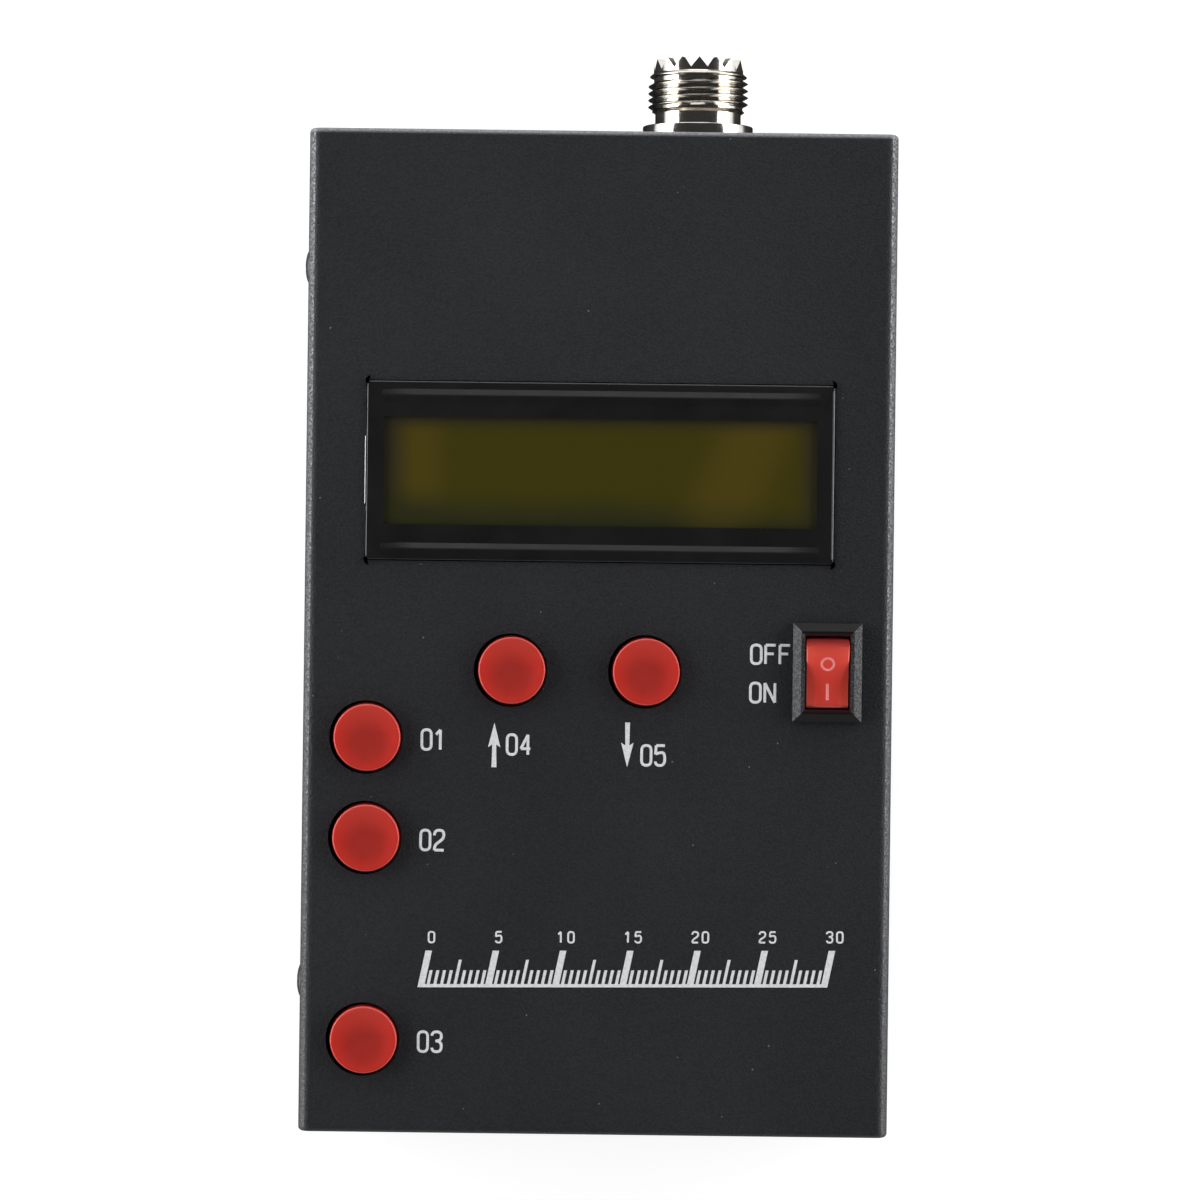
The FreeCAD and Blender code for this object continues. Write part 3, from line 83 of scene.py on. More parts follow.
def buildCamera():
    camera = bpy.data.objects.new("camera", bpy.data.cameras.new("camera"))
    bpy.context.scene.collection.objects.link(camera)
    camera.data.lens = cameraView["lens"]
    camera.data.clip_end = cameraView["farthest"]
    camera.location = onFace(cameraView["x"], cameraView["y"], cameraView["height"])
    camera.rotation_euler = (0, 0, radians(cameraView["turn"]))
    bpy.context.scene.camera = camera
    bpy.context.scene.view_settings.view_transform = "Standard"
    print("camera set")


def buildLamps():
    for name, lamp in lamps.items():
        light = bpy.data.lights.new(name, "AREA")
        light.shape = "RECTANGLE"
        light.size = lamp["size"][0] * mm
        light.size_y = lamp["size"][1] * mm
        light.energy = lamp["power"]
        holder = bpy.data.objects.new(name, light)
        bpy.context.scene.collection.objects.link(holder)
        holder.location = onFace(*lamp["spot"])
        aim = faceMiddle - holder.location
        holder.rotation_euler = aim.to_track_quat("-Z", "Y").to_euler()
    print("lamps set:", len(lamps))


# Shader maths written as plain expressions

class Socket:
    def __init__(self, finish, plug):
        self.finish = finish
        self.plug = plug

    def maths(self, operation, first, second=0.0):
        return self.finish.node("Math", {"operation": operation}, {0: first, 1: second})

    def __add__(self, other):
        return self.maths("ADD", self, other)

    def __radd__(self, other):
        return self.maths("ADD", other, self)

    def __sub__(self, other):
        return self.maths("SUBTRACT", self, other)

    def __rsub__(self, other):
        return self.maths("SUBTRACT", other, self)

    def __mul__(self, other):
        return self.maths("MULTIPLY", self, other)

    def __rmul__(self, other):
        return self.maths("MULTIPLY", other, self)

    def __truediv__(self, other):
        return self.maths("DIVIDE", self, other)

    def __pow__(self, other):
        return self.maths("POWER", self, other)

    def __gt__(self, other):
        return self.maths("GREATER_THAN", self, other)

    def __lt__(self, other):
        return self.maths("LESS_THAN", self, other)


class Finish:
    def __init__(self, name, holder=None):
        self.material = holder or bpy.data.materials.new(name)
        self.material.use_nodes = True
        self.tree = self.material.node_tree
        self.shader = self.tree.nodes.get("Principled BSDF")

    def node(self, kind, settings=None, inputs=None, output=0):
        made = self.tree.nodes.new("ShaderNode" + kind)
        for name, setting in (settings or {}).items():
            if name == "stops":
                while len(made.color_ramp.elements) < len(setting):
                    made.color_ramp.elements.new(1.0)
                for stop, (place, shade) in zip(made.color_ramp.elements, setting):
                    stop.position = place
                    stop.color = shade
            else:
                setattr(made, name, setting)
        for name, entry in (inputs or {}).items():
            self.feed(made.inputs[name], entry)
        return Socket(self, made.outputs[output])

    def feed(self, plug, entry):
        if isinstance(entry, Socket):
            self.tree.links.new(entry.plug, plug)
        else:
            plug.default_value = entry

    def set(self, **entries):
        for name, entry in entries.items():
            self.feed(self.shader.inputs[name.replace("_", " ")], entry)

    def objectPoint(self, centre=(0, 0, 0), turn=(0, 0, 0)):
        point = self.node("TexCoord", output="Object")
        return self.node("Mapping", {"vector_type": "TEXTURE"},
                         {"Vector": point, "Location": tuple(centre), "Rotation": turn})

    def axes(self, point):
        split = self.node("SeparateXYZ", None, {"Vector": point}).plug.node
        return [Socket(self, plug) for plug in split.outputs]

    def noise(self, point, size, detail=2.0, rough=0.5):
        return self.node("TexNoise", None, {
            "Vector": point, "Scale": 1 / (size * mm), "Detail": detail, "Roughness": rough})

    def mix(self, share, first, second):
        return self.node("Mix", {"data_type": "RGBA"}, {0: share, 6: first, 7: second}, output=2)

    def span(self, entry, low, high, start=0.0, end=1.0, soft=False):
        shape = "SMOOTHSTEP" if soft else "LINEAR"
        return self.node("MapRange", {"interpolation_type": shape}, {
            "Value": entry, "From Min": low, "From Max": high, "To Min": start, "To Max": end})

    def spread(self, noise, low, high):  # most of a noise lies between 0.3 and 0.7
        return self.span(noise, 0.3, 0.7, low, high)

    def above(self, entry, floor=0.0):
        return self.node("Math", {"operation": "MAXIMUM"}, {0: entry, 1: floor})

    def away(self, entry, middle=0.0):
        return self.node("Math", {"operation": "ABSOLUTE"}, {0: entry - middle})

    def bump(self, height, depth, strength=1.0):
        return self.node("Bump", None, {"Height": height, "Distance": depth * mm, "Strength": strength})


def paint(red, green, blue):
    levels = []
    for entry in (red / 255, green / 255, blue / 255):
        levels.append(entry / 12.92 if entry < 0.0405 else ((entry + 0.055) / 1.055) ** 2.4)
    return (*levels, 1.0)


def greyOf(level):
    return (level, level, level, 1.0)


# Ground and surround

ground = {"reach": 6.0, "shade": 0.35, "dim": 0.06, "glow": 0.78, "near": 15.0, "far": 70.0}
surround = {"low": 1.2, "high": 0.04, "start": 0.52, "end": 0.6}  # light of the walls and the ceiling


def groundFinish():  # pale where it is seen or mirrored, and, where it is mirrored, darker close round the case: a painted shadow
    finish = Finish("ground")
    path = finish.node("LightPath").plug.node
    seen, mirrored, through = [Socket(finish, path.outputs[f"Is {kind} Ray"])
                               for kind in ("Camera", "Glossy", "Transmission")]
    half = (cadHigh - cadLow) / 2
    x, y, _ = finish.axes(finish.objectPoint((cadHigh + cadLow) / 2))
    beside = finish.above(finish.away(x) - half.x)
    beyond = finish.above(finish.away(y) - half.y)
    distance = (beside * beside + beyond * beyond) ** 0.5
    clear = finish.span(distance, ground["near"] * mm, ground["far"] * mm, soft=True)
    lit = seen + mirrored * clear + through
    watched = finish.node("Math", {"operation": "MINIMUM"}, {0: lit, 1: 1.0})
    # painted shadow: where the floor is mirrored, its colour goes dark close round the case
    shade = finish.mix(mirrored * (1 - clear), greyOf(ground["shade"]), greyOf(ground["dim"]))
    finish.set(Base_Color=shade, Roughness=1.0, Specular_IOR_Level=0.0, Emission_Strength=1.0,
               Emission_Color=finish.mix(watched, greyOf(0.0), greyOf(ground["glow"])))
    return finish.material


def lightSurround():
    world = bpy.data.worlds.new("surround")
    bpy.context.scene.world = world
    finish = Finish("surround", world)
    rise = finish.axes(finish.node("TexCoord", output="Generated"))[2]
    glow = finish.span(rise, surround["start"], surround["end"], surround["low"], surround["high"])
    background = world.node_tree.nodes["Background"]
    finish.feed(background.inputs["Strength"], glow)
    background.inputs["Color"].default_value = greyOf(1.0)
    print("surround lit")


def buildGround():
    shape = bmesh.new()
    bmesh.ops.create_grid(shape, x_segments=1, y_segments=1, size=ground["reach"])
    mesh = bpy.data.meshes.new("ground")
    shape.to_mesh(mesh)
    shape.free()
    mesh.materials.append(groundFinish())
    plane = bpy.data.objects.new("ground", mesh)
    bpy.context.scene.collection.objects.link(plane)
    print("ground laid")


# Making pieces

def finishPiece(shape, name, body, material, replaced=(), angle=32, tidy=True):
    if tidy:
        bmesh.ops.remove_doubles(shape, verts=shape.verts, dist=1e-7)
        bmesh.ops.recalc_face_normals(shape, faces=shape.faces)
    mesh = bpy.data.meshes.new(name)
    shape.to_mesh(mesh)
    shape.free()
    mesh.shade_smooth()
    mesh.set_sharp_from_angle(angle=radians(angle))
    mesh.materials.append(material)
    piece = bpy.data.objects.new(name, mesh)
    bpy.context.scene.collection.objects.link(piece)
    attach(piece, body)
    if replaced:
        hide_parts(*replaced)
    return piece


def arc(x, y, radius, start, end, steps=8):
    turns = [radians(start + (end - start) * step / steps) for step in range(steps + 1)]
    return [(x + radius * cos(turn), y + radius * sin(turn)) for turn in turns]


def lathe(points, steps=96, closed=False):
    shape = bmesh.new()
    verts = [shape.verts.new((radius * mm, 0, height * mm)) for radius, height in points]
    pairs = list(zip(verts, verts[1:])) + ([(verts[-1], verts[0])] if closed else [])
    edges = [shape.edges.new(pair) for pair in pairs]
    bmesh.ops.spin(shape, geom=verts + edges, cent=(0, 0, 0), axis=(0, 0, 1), dvec=(0, 0, 0),
                   angle=2 * pi, steps=steps, use_merge=True, use_normal_flip=False, use_duplicate=False)
    return shape


def shift(shape, spot, turn=None):
    if turn:
        bmesh.ops.transform(shape, matrix=turn, verts=shape.verts)
    bmesh.ops.translate(shape, vec=spot, verts=shape.verts)


def addTo(shape, other):
    spare = bpy.data.meshes.new("spare")
    other.to_mesh(spare)
    other.free()
    shape.from_mesh(spare)
    bpy.data.meshes.remove(spare)


def bevelled(shape, edges, radius, steps=4):
    bmesh.ops.bevel(shape, geom=edges, offset=radius * mm, segments=steps, profile=0.5, affect="EDGES",
                    material=-1)


def uprights(shape):
    return [edge for edge in shape.edges if abs(edge.verts[0].co.z - edge.verts[1].co.z) > 1e-6]


def edgesAt(shape, height):
    return [edge for edge in shape.edges if all(abs(vert.co.z - height) < 1e-7 for vert in edge.verts)]


def roundedBox(size, corner=0.0, radius=0.0):  # its top is at zero
    shape = bmesh.new()
    bmesh.ops.create_cube(shape, size=1.0)
    bmesh.ops.scale(shape, vec=Vector(size) * mm, verts=shape.verts)
    bmesh.ops.translate(shape, vec=(0, 0, -size[2] * mm / 2), verts=shape.verts)
    if corner:
        bevelled(shape, uprights(shape), corner)
    if radius:
        bevelled(shape, edgesAt(shape, 0.0), radius)
    return shape


def vertsOf(parts):
    return [part for part in parts if isinstance(part, bmesh.types.BMVert)]


def pulledUp(shape, run):
    moved = bmesh.ops.extrude_face_region(shape, geom=shape.faces[:])["geom"]
    bmesh.ops.translate(shape, vec=Vector(run) * mm, verts=vertsOf(moved))
    return shape


def cylinderShape(radius, length, height=0.0):
    shape = bmesh.new()
    bmesh.ops.create_cone(shape, cap_ends=True, segments=40, radius1=radius * mm, radius2=radius * mm,
                          depth=length * mm)
    bmesh.ops.translate(shape, vec=(0, 0, height * mm), verts=shape.verts)
    return shape


def combined(shape, other, operation):
    holders = []
    for part in (shape, other):
        mesh = bpy.data.meshes.new("spare")
        part.to_mesh(mesh)
        part.free()
        holders.append(bpy.data.objects.new("spare", mesh))
        bpy.context.scene.collection.objects.link(holders[-1])
    step = holders[0].modifiers.new("join", "BOOLEAN")
    step.operation = operation
    step.object = holders[1]
    graph = bpy.context.evaluated_depsgraph_get()
    mesh = bpy.data.meshes.new_from_object(holders[0].evaluated_get(graph))
    result = bmesh.new()
    result.from_mesh(mesh)
    spent = [holder.data for holder in holders] + [mesh]
    for holder in holders:
        bpy.data.objects.remove(holder)
    for mesh in spent:
        bpy.data.meshes.remove(mesh)
    return result


# Red moulded plastic of the rocker and the caps

redGloss = {
    "cloud": 2.5, "rough": (0.34, 0.42), "specular": 0.25, "grain": 0.35, "depth": 0.004, "strength": 0.4,
    "dark": (168, 44, 36), "pale": (182, 48, 38),
}


def setRedGloss(finish, point, cloud, shade):
    grain = finish.noise(point, redGloss["grain"])
    finish.set(Base_Color=shade, Roughness=finish.spread(cloud, *redGloss["rough"]),
               Specular_IOR_Level=redGloss["specular"],
               Normal=finish.bump(grain, redGloss["depth"], redGloss["strength"]))


def redPlastic():
    finish = Finish("rocker_red")
    point = finish.objectPoint()
    cloud = finish.noise(point, redGloss["cloud"])
    shade = finish.mix(cloud, paint(*redGloss["dark"]), paint(*redGloss["pale"]))
    setRedGloss(finish, point, cloud, shade)
    return finish.material


# Push buttons

cap = {
    "radius": 5.08, "height": 7.5, "rim": 0.3, "dish": 0.42, "dishSteps": 14, "flat": 0.1, "wall": 1.2,
    "roof": 1.6, "steps": 96, "skirt": 5.3, "skirtTop": 1.95, "skirtFoot": 3.6, "skirtSlope": 0.15,
}
capLook = {
    "middle": (142, 35, 29), "wall": (180, 40, 31), "reach": 5.1, "middleDrop": 0.9, "fade": (0.3, 1.05),
    "sheen": (170, 64, 56), "sheenRun": (0.5, 5.2), "sheenShare": 0.6,
    "rim": (196, 92, 84), "rimSpot": 0.975, "rimWide": 0.025, "rimShare": 0.7,
    "skirt": (120, 16, 18), "skirtDrop": 0.6, "cloud": (186, 56, 46), "cloudShare": 0.2,
}
capNames = ("upper", "middle", "lower", "up", "down")


def capPlastic(name, centre):  # the wall lets light through, painted as a brighter wall, and the solid middle is painted darker, with a painted sheen and a painted rim highlight
    look = capLook
    finish = Finish(name)
    point = finish.objectPoint(centre)
    cloud = finish.noise(point, redGloss["cloud"])
    x, y, z = finish.axes(point)
    low = y + look["middleDrop"] * mm
    radius = ((x * x + low * low) ** 0.5) / (look["reach"] * mm)
    edge = ((x * x + y * y) ** 0.5) / (look["reach"] * mm)
    # painted glow and shade: the wall painted brighter as if lit through, the middle, set a little low, painted
    # darker
    shade = finish.mix(finish.span(radius, *look["fade"], soft=True), paint(*look["middle"]),
                       paint(*look["wall"]))
    # painted sheen towards the top of the cap
    start, end = look["sheenRun"]
    shade = finish.mix(finish.span(y, start * mm, end * mm, 0.0, look["sheenShare"]), shade,
                       paint(*look["sheen"]))
    # painted highlight: a thin pale ring just inside the rim
    rim = finish.span(finish.away(edge, look["rimSpot"]), 0.0, look["rimWide"], look["rimShare"], 0.0)
    shade = finish.mix(rim, shade, paint(*look["rim"]))
    shade = finish.mix(z < -look["skirtDrop"] * mm, shade, paint(*look["skirt"]))
    shade = finish.mix(cloud * look["cloudShare"], shade, paint(*look["cloud"]))
    setRedGloss(finish, point, cloud, shade)
    return finish.material


def buildCap(name):
    node = f"{name}_button_cap"
    low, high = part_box(node)
    centre = Vector(((low.x + high.x) / 2, (low.y + high.y) / 2, high.z))
    radius, rim, dish = cap["radius"], cap["rim"], cap["dish"]
    edge = radius - rim - cap["flat"]
    curve = (edge ** 2 + dish ** 2) / (2 * dish)
    hollow = [(out, curve - dish - (curve ** 2 - out ** 2) ** 0.5)
              for out in (edge * step / cap["dishSteps"] for step in range(cap["dishSteps"], 0, -1))]
    inner = radius - cap["wall"]
    points = [(0, -cap["roof"] - dish), (inner, -cap["roof"] - dish), (inner, -cap["height"]),
              (radius, -cap["height"]), (radius, -cap["skirtFoot"]), (cap["skirt"], -cap["skirtFoot"]),
              (cap["skirt"], -cap["skirtTop"] - cap["skirtSlope"]), (radius, -cap["skirtTop"])]
    shape = lathe(points + arc(radius - rim, -rim, rim, 0, 90, 6) + hollow + [(0, -dish)], cap["steps"])
    shift(shape, centre)
    finishPiece(shape, f"{name}_cap", f"{name}_button", capPlastic(f"{name}_cap_red", centre), [node],
                40)


def buildCaps():
    for name in capNames:
        buildCap(name)
    print("caps made:", len(capNames))


# Coaxial socket

shell = {
    "bore": 5.7, "shank": 6.0, "shankLength": 6.0,
    "flange": 8.55, "flangeThick": 2.15, "flangeFoot": 0.2, "flangeEdge": 0.14,
    "neck": 6.65, "neckRound": 0.15, "neckStep": 0.22, "shoulder": (0.3, 0.35, 0.6),
    "threadLow": 4.15, "threadHigh": 9.86, "threadEnd": 0.2, "root": 6.9, "crest": 7.75, "crestRound": 0.05,
    "pitch": 1.058, "turns": 5.2, "turnSteps": 96, "fade": 20, "buried": 0.25,
    "lip": 0.58, "lipRound": 0.1, "lipLift": 0.06,
    "crown": 6.95, "crownLow": 10.81, "crownHigh": 12.45, "teeth": 16, "toothSteps": 12,
}


def shellBody():
    size = shell
    bore, flange, thick, neck = size["bore"], size["flange"], size["flangeThick"], size["neck"]
    foot, edge, fillet = size["flangeFoot"], size["flangeEdge"], size["neckRound"]
    low, high, root = size["threadLow"], size["threadHigh"], size["root"]
    out, start, rise = size["shoulder"]
    crown, lip, lipRound = size["crown"], size["lip"], size["lipRound"]
    points = [(bore, -size["shankLength"]), (size["shank"], -size["shankLength"]), (size["shank"], 0),
              (flange - foot, 0)]
    points += arc(flange - foot, foot, foot, -90, 0, 3)
    points += arc(flange - edge, thick - edge, edge, 0, 90, 4)
    points += arc(neck + fillet, thick + fillet, fillet, 270, 180, 3)
    points += [(neck, thick + size["neckStep"]), (neck, low), (root + out, low + start),
               (root, low + rise), (root, high - size["threadEnd"])]
    points += arc(crown + lip - lipRound, high + size["lipLift"], lipRound, -90, 45, 5)
    points += [(crown, high + lip), (crown, size["crownHigh"]), (bore, size["crownHigh"])]
    shape = lathe(points, size["teeth"] * size["toothSteps"], True)
    for vert in shape.verts:  # the crown's top edge rises and falls once for each tooth
        if vert.co.z > (size["crownHigh"] - 0.01) * mm:
            turn = Vector((1, 0)).angle_signed(vert.co.xy, 0.0) / (2 * pi) * size["teeth"]
            share = abs((turn % 1) * 2 - 1)
            vert.co.z = (size["crownLow"] + share * (size["crownHigh"] - size["crownLow"])) * mm
    return shape


def shellThread():
    size = shell
    pitch, root, tip = size["pitch"], size["root"], size["crestRound"]
    foot = root - size["buried"]
    profile = [(foot, 0.06), (root, 0.02)] + arc(size["crest"] - tip, pitch / 2, tip, -60, 60, 6)
    profile += [(root, pitch - 0.02), (foot, pitch - 0.06)]
    shape = bmesh.new()
    verts = [shape.verts.new((radius * mm, 0, (size["threadLow"] + height) * mm))
             for radius, height in profile]
    edges = [shape.edges.new(pair) for pair in zip(verts, verts[1:] + verts[:1])]
    steps = round((size["turns"] - 1) * size["turnSteps"])
    bmesh.ops.spin(shape, geom=verts + edges, cent=(0, 0, 0), axis=(0, 0, 1),
                   dvec=(0, 0, pitch / size["turnSteps"] * mm), angle=2 * pi * steps / size["turnSteps"],
                   steps=steps, use_merge=False, use_normal_flip=False, use_duplicate=False)
    for place, vert in enumerate(shape.verts):  # the ridge starts and ends low
        step = place // len(profile)
        share = min(1.0, step / size["fade"], (steps - step) / size["fade"])
        radius = vert.co.xy.length / mm
        vert.co.xy *= (foot + (radius - foot) * share) / radius
    bmesh.ops.holes_fill(shape, edges=[edge for edge in shape.edges if edge.is_boundary], sides=0)
    return shape


def buildShell():
    shape = shellBody()
    addTo(shape, shellThread())
    low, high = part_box("socket_shell")
    base = Vector(((low.x + high.x) / 2, low.y + shell["shankLength"] * mm, (low.z + high.z) / 2))
    shift(shape, base, Matrix.Rotation(radians(-90), 4, "X"))
    finishPiece(shape, "socket_body", "case", slotFinishes["nickel_plate"], ["socket_shell"],
                30)
    print("socket made")


# Pan-head screws of the left side wall

sideScrew = {
    "brim": 0.25, "domeStep": 9, "crossLong": 2.7, "crossWide": 0.62, "crossDeep": 0.7, "shank": 1.45,
    "steps": 48, "turns": (20, 65),
}


def buildSideScrews():
    size = sideScrew
    low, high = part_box("side_screws")
    head = (high.z - low.z) / 2
    radius, height = head / mm, (coverLow.x - low.x) / mm
    foot = height - (high.x - low.x) / mm
    dome = [(radius * sin(radians(turn)), size["brim"] + (height - size["brim"]) * cos(radians(turn)))
            for turn in range(0, 91, size["domeStep"])]
    both = bmesh.new()
    for row, turned in zip((low.y + head, high.y - head), size["turns"]):
        screw = lathe(dome + [(radius, 0), (size["shank"], 0), (size["shank"], foot), (0, foot)],
                      size["steps"])
        bmesh.ops.remove_doubles(screw, verts=screw.verts, dist=1e-7)
        bmesh.ops.recalc_face_normals(screw, faces=screw.faces)
        for turn in (turned, turned + 90):
            arm = roundedBox((size["crossLong"], size["crossWide"], size["crossDeep"] + 1))
            bmesh.ops.translate(arm, vec=(0, 0, (height + 1) * mm), verts=arm.verts)
            bmesh.ops.rotate(arm, matrix=Matrix.Rotation(radians(turn), 3, "Z"), verts=arm.verts)
            screw = combined(screw, arm, "DIFFERENCE")
        spot = Vector((coverLow.x, row, (low.z + high.z) / 2))
        shift(screw, spot, Matrix.Rotation(radians(-90), 4, "Y"))
        addTo(both, screw)
    finishPiece(both, "side_screw_pair", "case", slotFinishes["blackened_steel"], ["side_screws"])
    print("side screws made")


# Display

bezel = {
    "size": (71.2, 27.2, 7.5), "gauge": 0.5, "corner": 0.12, "edge": 0.2, "window": (66.0, 16.4),
    "rib": (66.8, 2.1, 0.26), "ribSpots": (11.36, -12.05), "ribCrest": 1.15, "ribSteps": 24,
    "ribSunk": 0.002, "bulge": (0.3, 10.4, 7.2), "bulgeRound": 0.6, "bulgeEdge": 0.15, "bulgeDrop": 0.3,
}
bezelLook = {
    "dark": (14, 14, 15), "pale": (18, 18, 19), "cloud": 6, "rough": (0.26, 0.34), "wave": 0.9,
    "depth": 0.004, "highlightWide": 0.17, "highlightStop": 0.8,
    # colours of the painted highlight lines on the left, right and upper edges
    "left": (186, 186, 188), "right": (86, 86, 88), "top": (48, 48, 50),
}


def bezelPaint():  # a painted highlight: pale lines painted along its upper and side edges, brighter on the left than on the right
    look = bezelLook
    finish = Finish("bezel_paint")
    point = finish.objectPoint()
    cloud = finish.noise(point, look["cloud"], 3.0)
    shade = finish.mix(cloud, paint(*look["dark"]), paint(*look["pale"]))
    low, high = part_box("lcd_bezel")
    x, y, _ = finish.axes(finish.objectPoint((low + high) / 2))
    across, along = finish.away(x), finish.away(y)
    width, depth, _ = bezel["size"]
    proud, length, _ = bezel["bulge"]
    highlightWide, highlightStop = look["highlightWide"], look["highlightStop"]
    swelling = (x < 0) * (along < length / 2 * mm) * (proud * bezel["bulgeRound"] * mm)
    # painted highlight along the side edges, brightest on the left
    wearAndHighlight = (across > swelling + (width / 2 - highlightWide) * mm) * (along < (depth / 2 - highlightStop) * mm)
    shade = finish.mix(wearAndHighlight, shade, finish.mix(x < 0, paint(*look["right"]), paint(*look["left"])))
    # painted highlight along the upper edge
    wearAndHighlight = (y > (depth / 2 - highlightWide) * mm) * (across < (width / 2 - highlightStop) * mm)
    shade = finish.mix(wearAndHighlight, shade, paint(*look["top"]))
    wave = finish.noise(point, look["wave"])
    finish.set(Base_Color=shade, Roughness=finish.spread(cloud, *look["rough"]),
               Normal=finish.bump(wave, look["depth"], 0.5))
    return finish.material


def frameRing(outer, inner):
    shape = bmesh.new()
    loops = []
    for size in (outer, inner):
        made = bmesh.ops.create_grid(shape, x_segments=1, y_segments=1, size=0.5)["verts"]
        bmesh.ops.scale(shape, vec=(size[0] * mm, size[1] * mm, 1), verts=made)
        loops.append(made)
    edges = [edge for made in loops for edge in made[0].link_faces[0].edges]
    bmesh.ops.delete(shape, geom=shape.faces[:], context="FACES_ONLY")
    bmesh.ops.bridge_loops(shape, edges=edges)
    return shape


def pressedRib(spot, top):  # a ridge with a soft crest and sloping ends
    length, across, proud = bezel["rib"]
    rib = bmesh.new()
    bmesh.ops.create_grid(rib, x_segments=bezel["ribSteps"], y_segments=bezel["ribSteps"] // 2, size=0.5)
    for vert in rib.verts:
        share = max(0.0, 1 - abs(vert.co.y) * 2)
        ends = min(1.0, (0.5 - abs(vert.co.x)) * bezel["ribSteps"])
        vert.co.z = (proud * min(1.0, share * bezel["ribCrest"]) * ends - bezel["ribSunk"]) * mm
    bmesh.ops.scale(rib, vec=(length * mm, across * mm, 1), verts=rib.verts)
    bmesh.ops.translate(rib, vec=(0, spot * mm, top), verts=rib.verts)
    return rib


def buildBezel():
    low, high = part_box("lcd_bezel")
    glassLow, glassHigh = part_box("lcd_glass")
    width, depth, deep = bezel["size"]
    half, halfDepth = width / 2 * mm, depth / 2 * mm
    shape = frameRing((width, depth), bezel["window"])
    rim = [edge for edge in shape.edges if edge.is_boundary and
           all(max(abs(vert.co.x) - half, abs(vert.co.y) - halfDepth) > -1e-6 for vert in edge.verts)]
    pulled = bmesh.ops.extrude_edge_only(shape, edges=rim)["geom"]
    bmesh.ops.translate(shape, vec=(0, 0, -deep * mm), verts=vertsOf(pulled))
    bmesh.ops.recalc_face_normals(shape, faces=shape.faces)
    bmesh.ops.solidify(shape, geom=shape.faces[:] + shape.edges[:] + shape.verts[:],
                       thickness=bezel["gauge"] * mm)
    bmesh.ops.recalc_face_normals(shape, faces=shape.faces)
    bevelled(shape, [edge for edge in uprights(shape) if abs(abs(edge.verts[0].co.x) - half) < 1e-6],
             bezel["corner"])
    top = max(vert.co.z for vert in shape.verts)
    outside = [edge for edge in edgesAt(shape, top) if
               all(abs(vert.co.x) > half - mm or abs(vert.co.y) > halfDepth - mm for vert in edge.verts)]
    bevelled(shape, outside, bezel["edge"])
    for spot in bezel["ribSpots"]:
        addTo(shape, pressedRib(spot, top))
    proud, length, tall = bezel["bulge"]
    bulge = roundedBox((2 * proud, length, tall), proud * bezel["bulgeRound"], bezel["bulgeEdge"])
    bmesh.ops.translate(bulge, vec=(-half, 0, top - bezel["bulgeDrop"] * mm), verts=bulge.verts)
    addTo(shape, bulge)
    middle = Vector(((glassLow.x + glassHigh.x) / 2, (glassLow.y + glassHigh.y) / 2, 0))
    shift(shape, middle + Vector((0, 0, high.z - bezel["rib"][2] * mm - top)))
    finishPiece(shape, "display_bezel", "case", slotFinishes["bezel_black"], ["lcd_bezel"],
                28, False)
    print("display bezel made")


displayLook = {
    "olive": (55, 51, 10), "amber": (69, 59, 16), "brown": (43, 39, 28), "footTone": (40, 40, 20),
    "leftAmber": (-27.5, 0.5, 5.5, 0.8), "rightAmber": (21.0, 1.0, 9.0, 1.0),  # middle, full, gone, share
    "lean": 0.4, "sides": (28.5, 33.5), "sidesMiddle": 0.3, "foot": (-2.5, -8.0), "footLean": 0.04,
    "cloud": 14, "footWaver": 3, "footBright": 0.45, "head": (5.5, 8.4), "headShare": 0.8,
    "rough": 0.12, "coat": 0.3, "coatRough": 0.05, "wave": 0.7, "depth": 0.0015, "strength": 0.4,
}


def displayFinish():  # the unlit character glass: amber towards both ends, browner at the sides and head, and darker towards the foot
    look = displayLook
    finish = Finish("display_glass")
    low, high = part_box("lcd_glass")
    point = finish.objectPoint((low + high) / 2)
    x, y, _ = finish.axes(point)
    ambers = []
    for place, glow in ((x, "leftAmber"), (x - y * look["lean"], "rightAmber")):
        middle, full, gone, share = look[glow]
        ambers.append(finish.span(finish.away(place, middle * mm), full * mm, gone * mm, share, 0.0, True))
    shade = finish.mix(ambers[0] + ambers[1], paint(*look["olive"]), paint(*look["amber"]))
    start, end = look["sides"]
    sides = finish.span(finish.away(x, look["sidesMiddle"] * mm), start * mm, end * mm, soft=True)
    shade = finish.mix(sides, shade, paint(*look["brown"]))
    waver = (finish.noise(point, look["cloud"], 1.0) - 0.5) * (look["footWaver"] * mm)
    start, end = look["foot"]
    foot = finish.span(y + x * look["footLean"] - waver, start * mm, end * mm, soft=True)
    shade = finish.mix(foot * (1 - ambers[1] * look["footBright"]), shade, paint(*look["footTone"]))
    start, end = look["head"]
    head = finish.span(y, start * mm, end * mm, 0.0, look["headShare"], True)
    shade = finish.mix(head, shade, paint(*look["brown"]))
    wave = finish.noise(point, look["wave"], 1.0)
    finish.set(Base_Color=shade, Roughness=look["rough"],
               Coat_Weight=look["coat"], Coat_Roughness=look["coatRough"],
               Normal=finish.bump(wave, look["depth"], look["strength"]))
    return finish.material


# Printed marks: strokes drawn in a box one wide and one tall, then set a hair above the paint

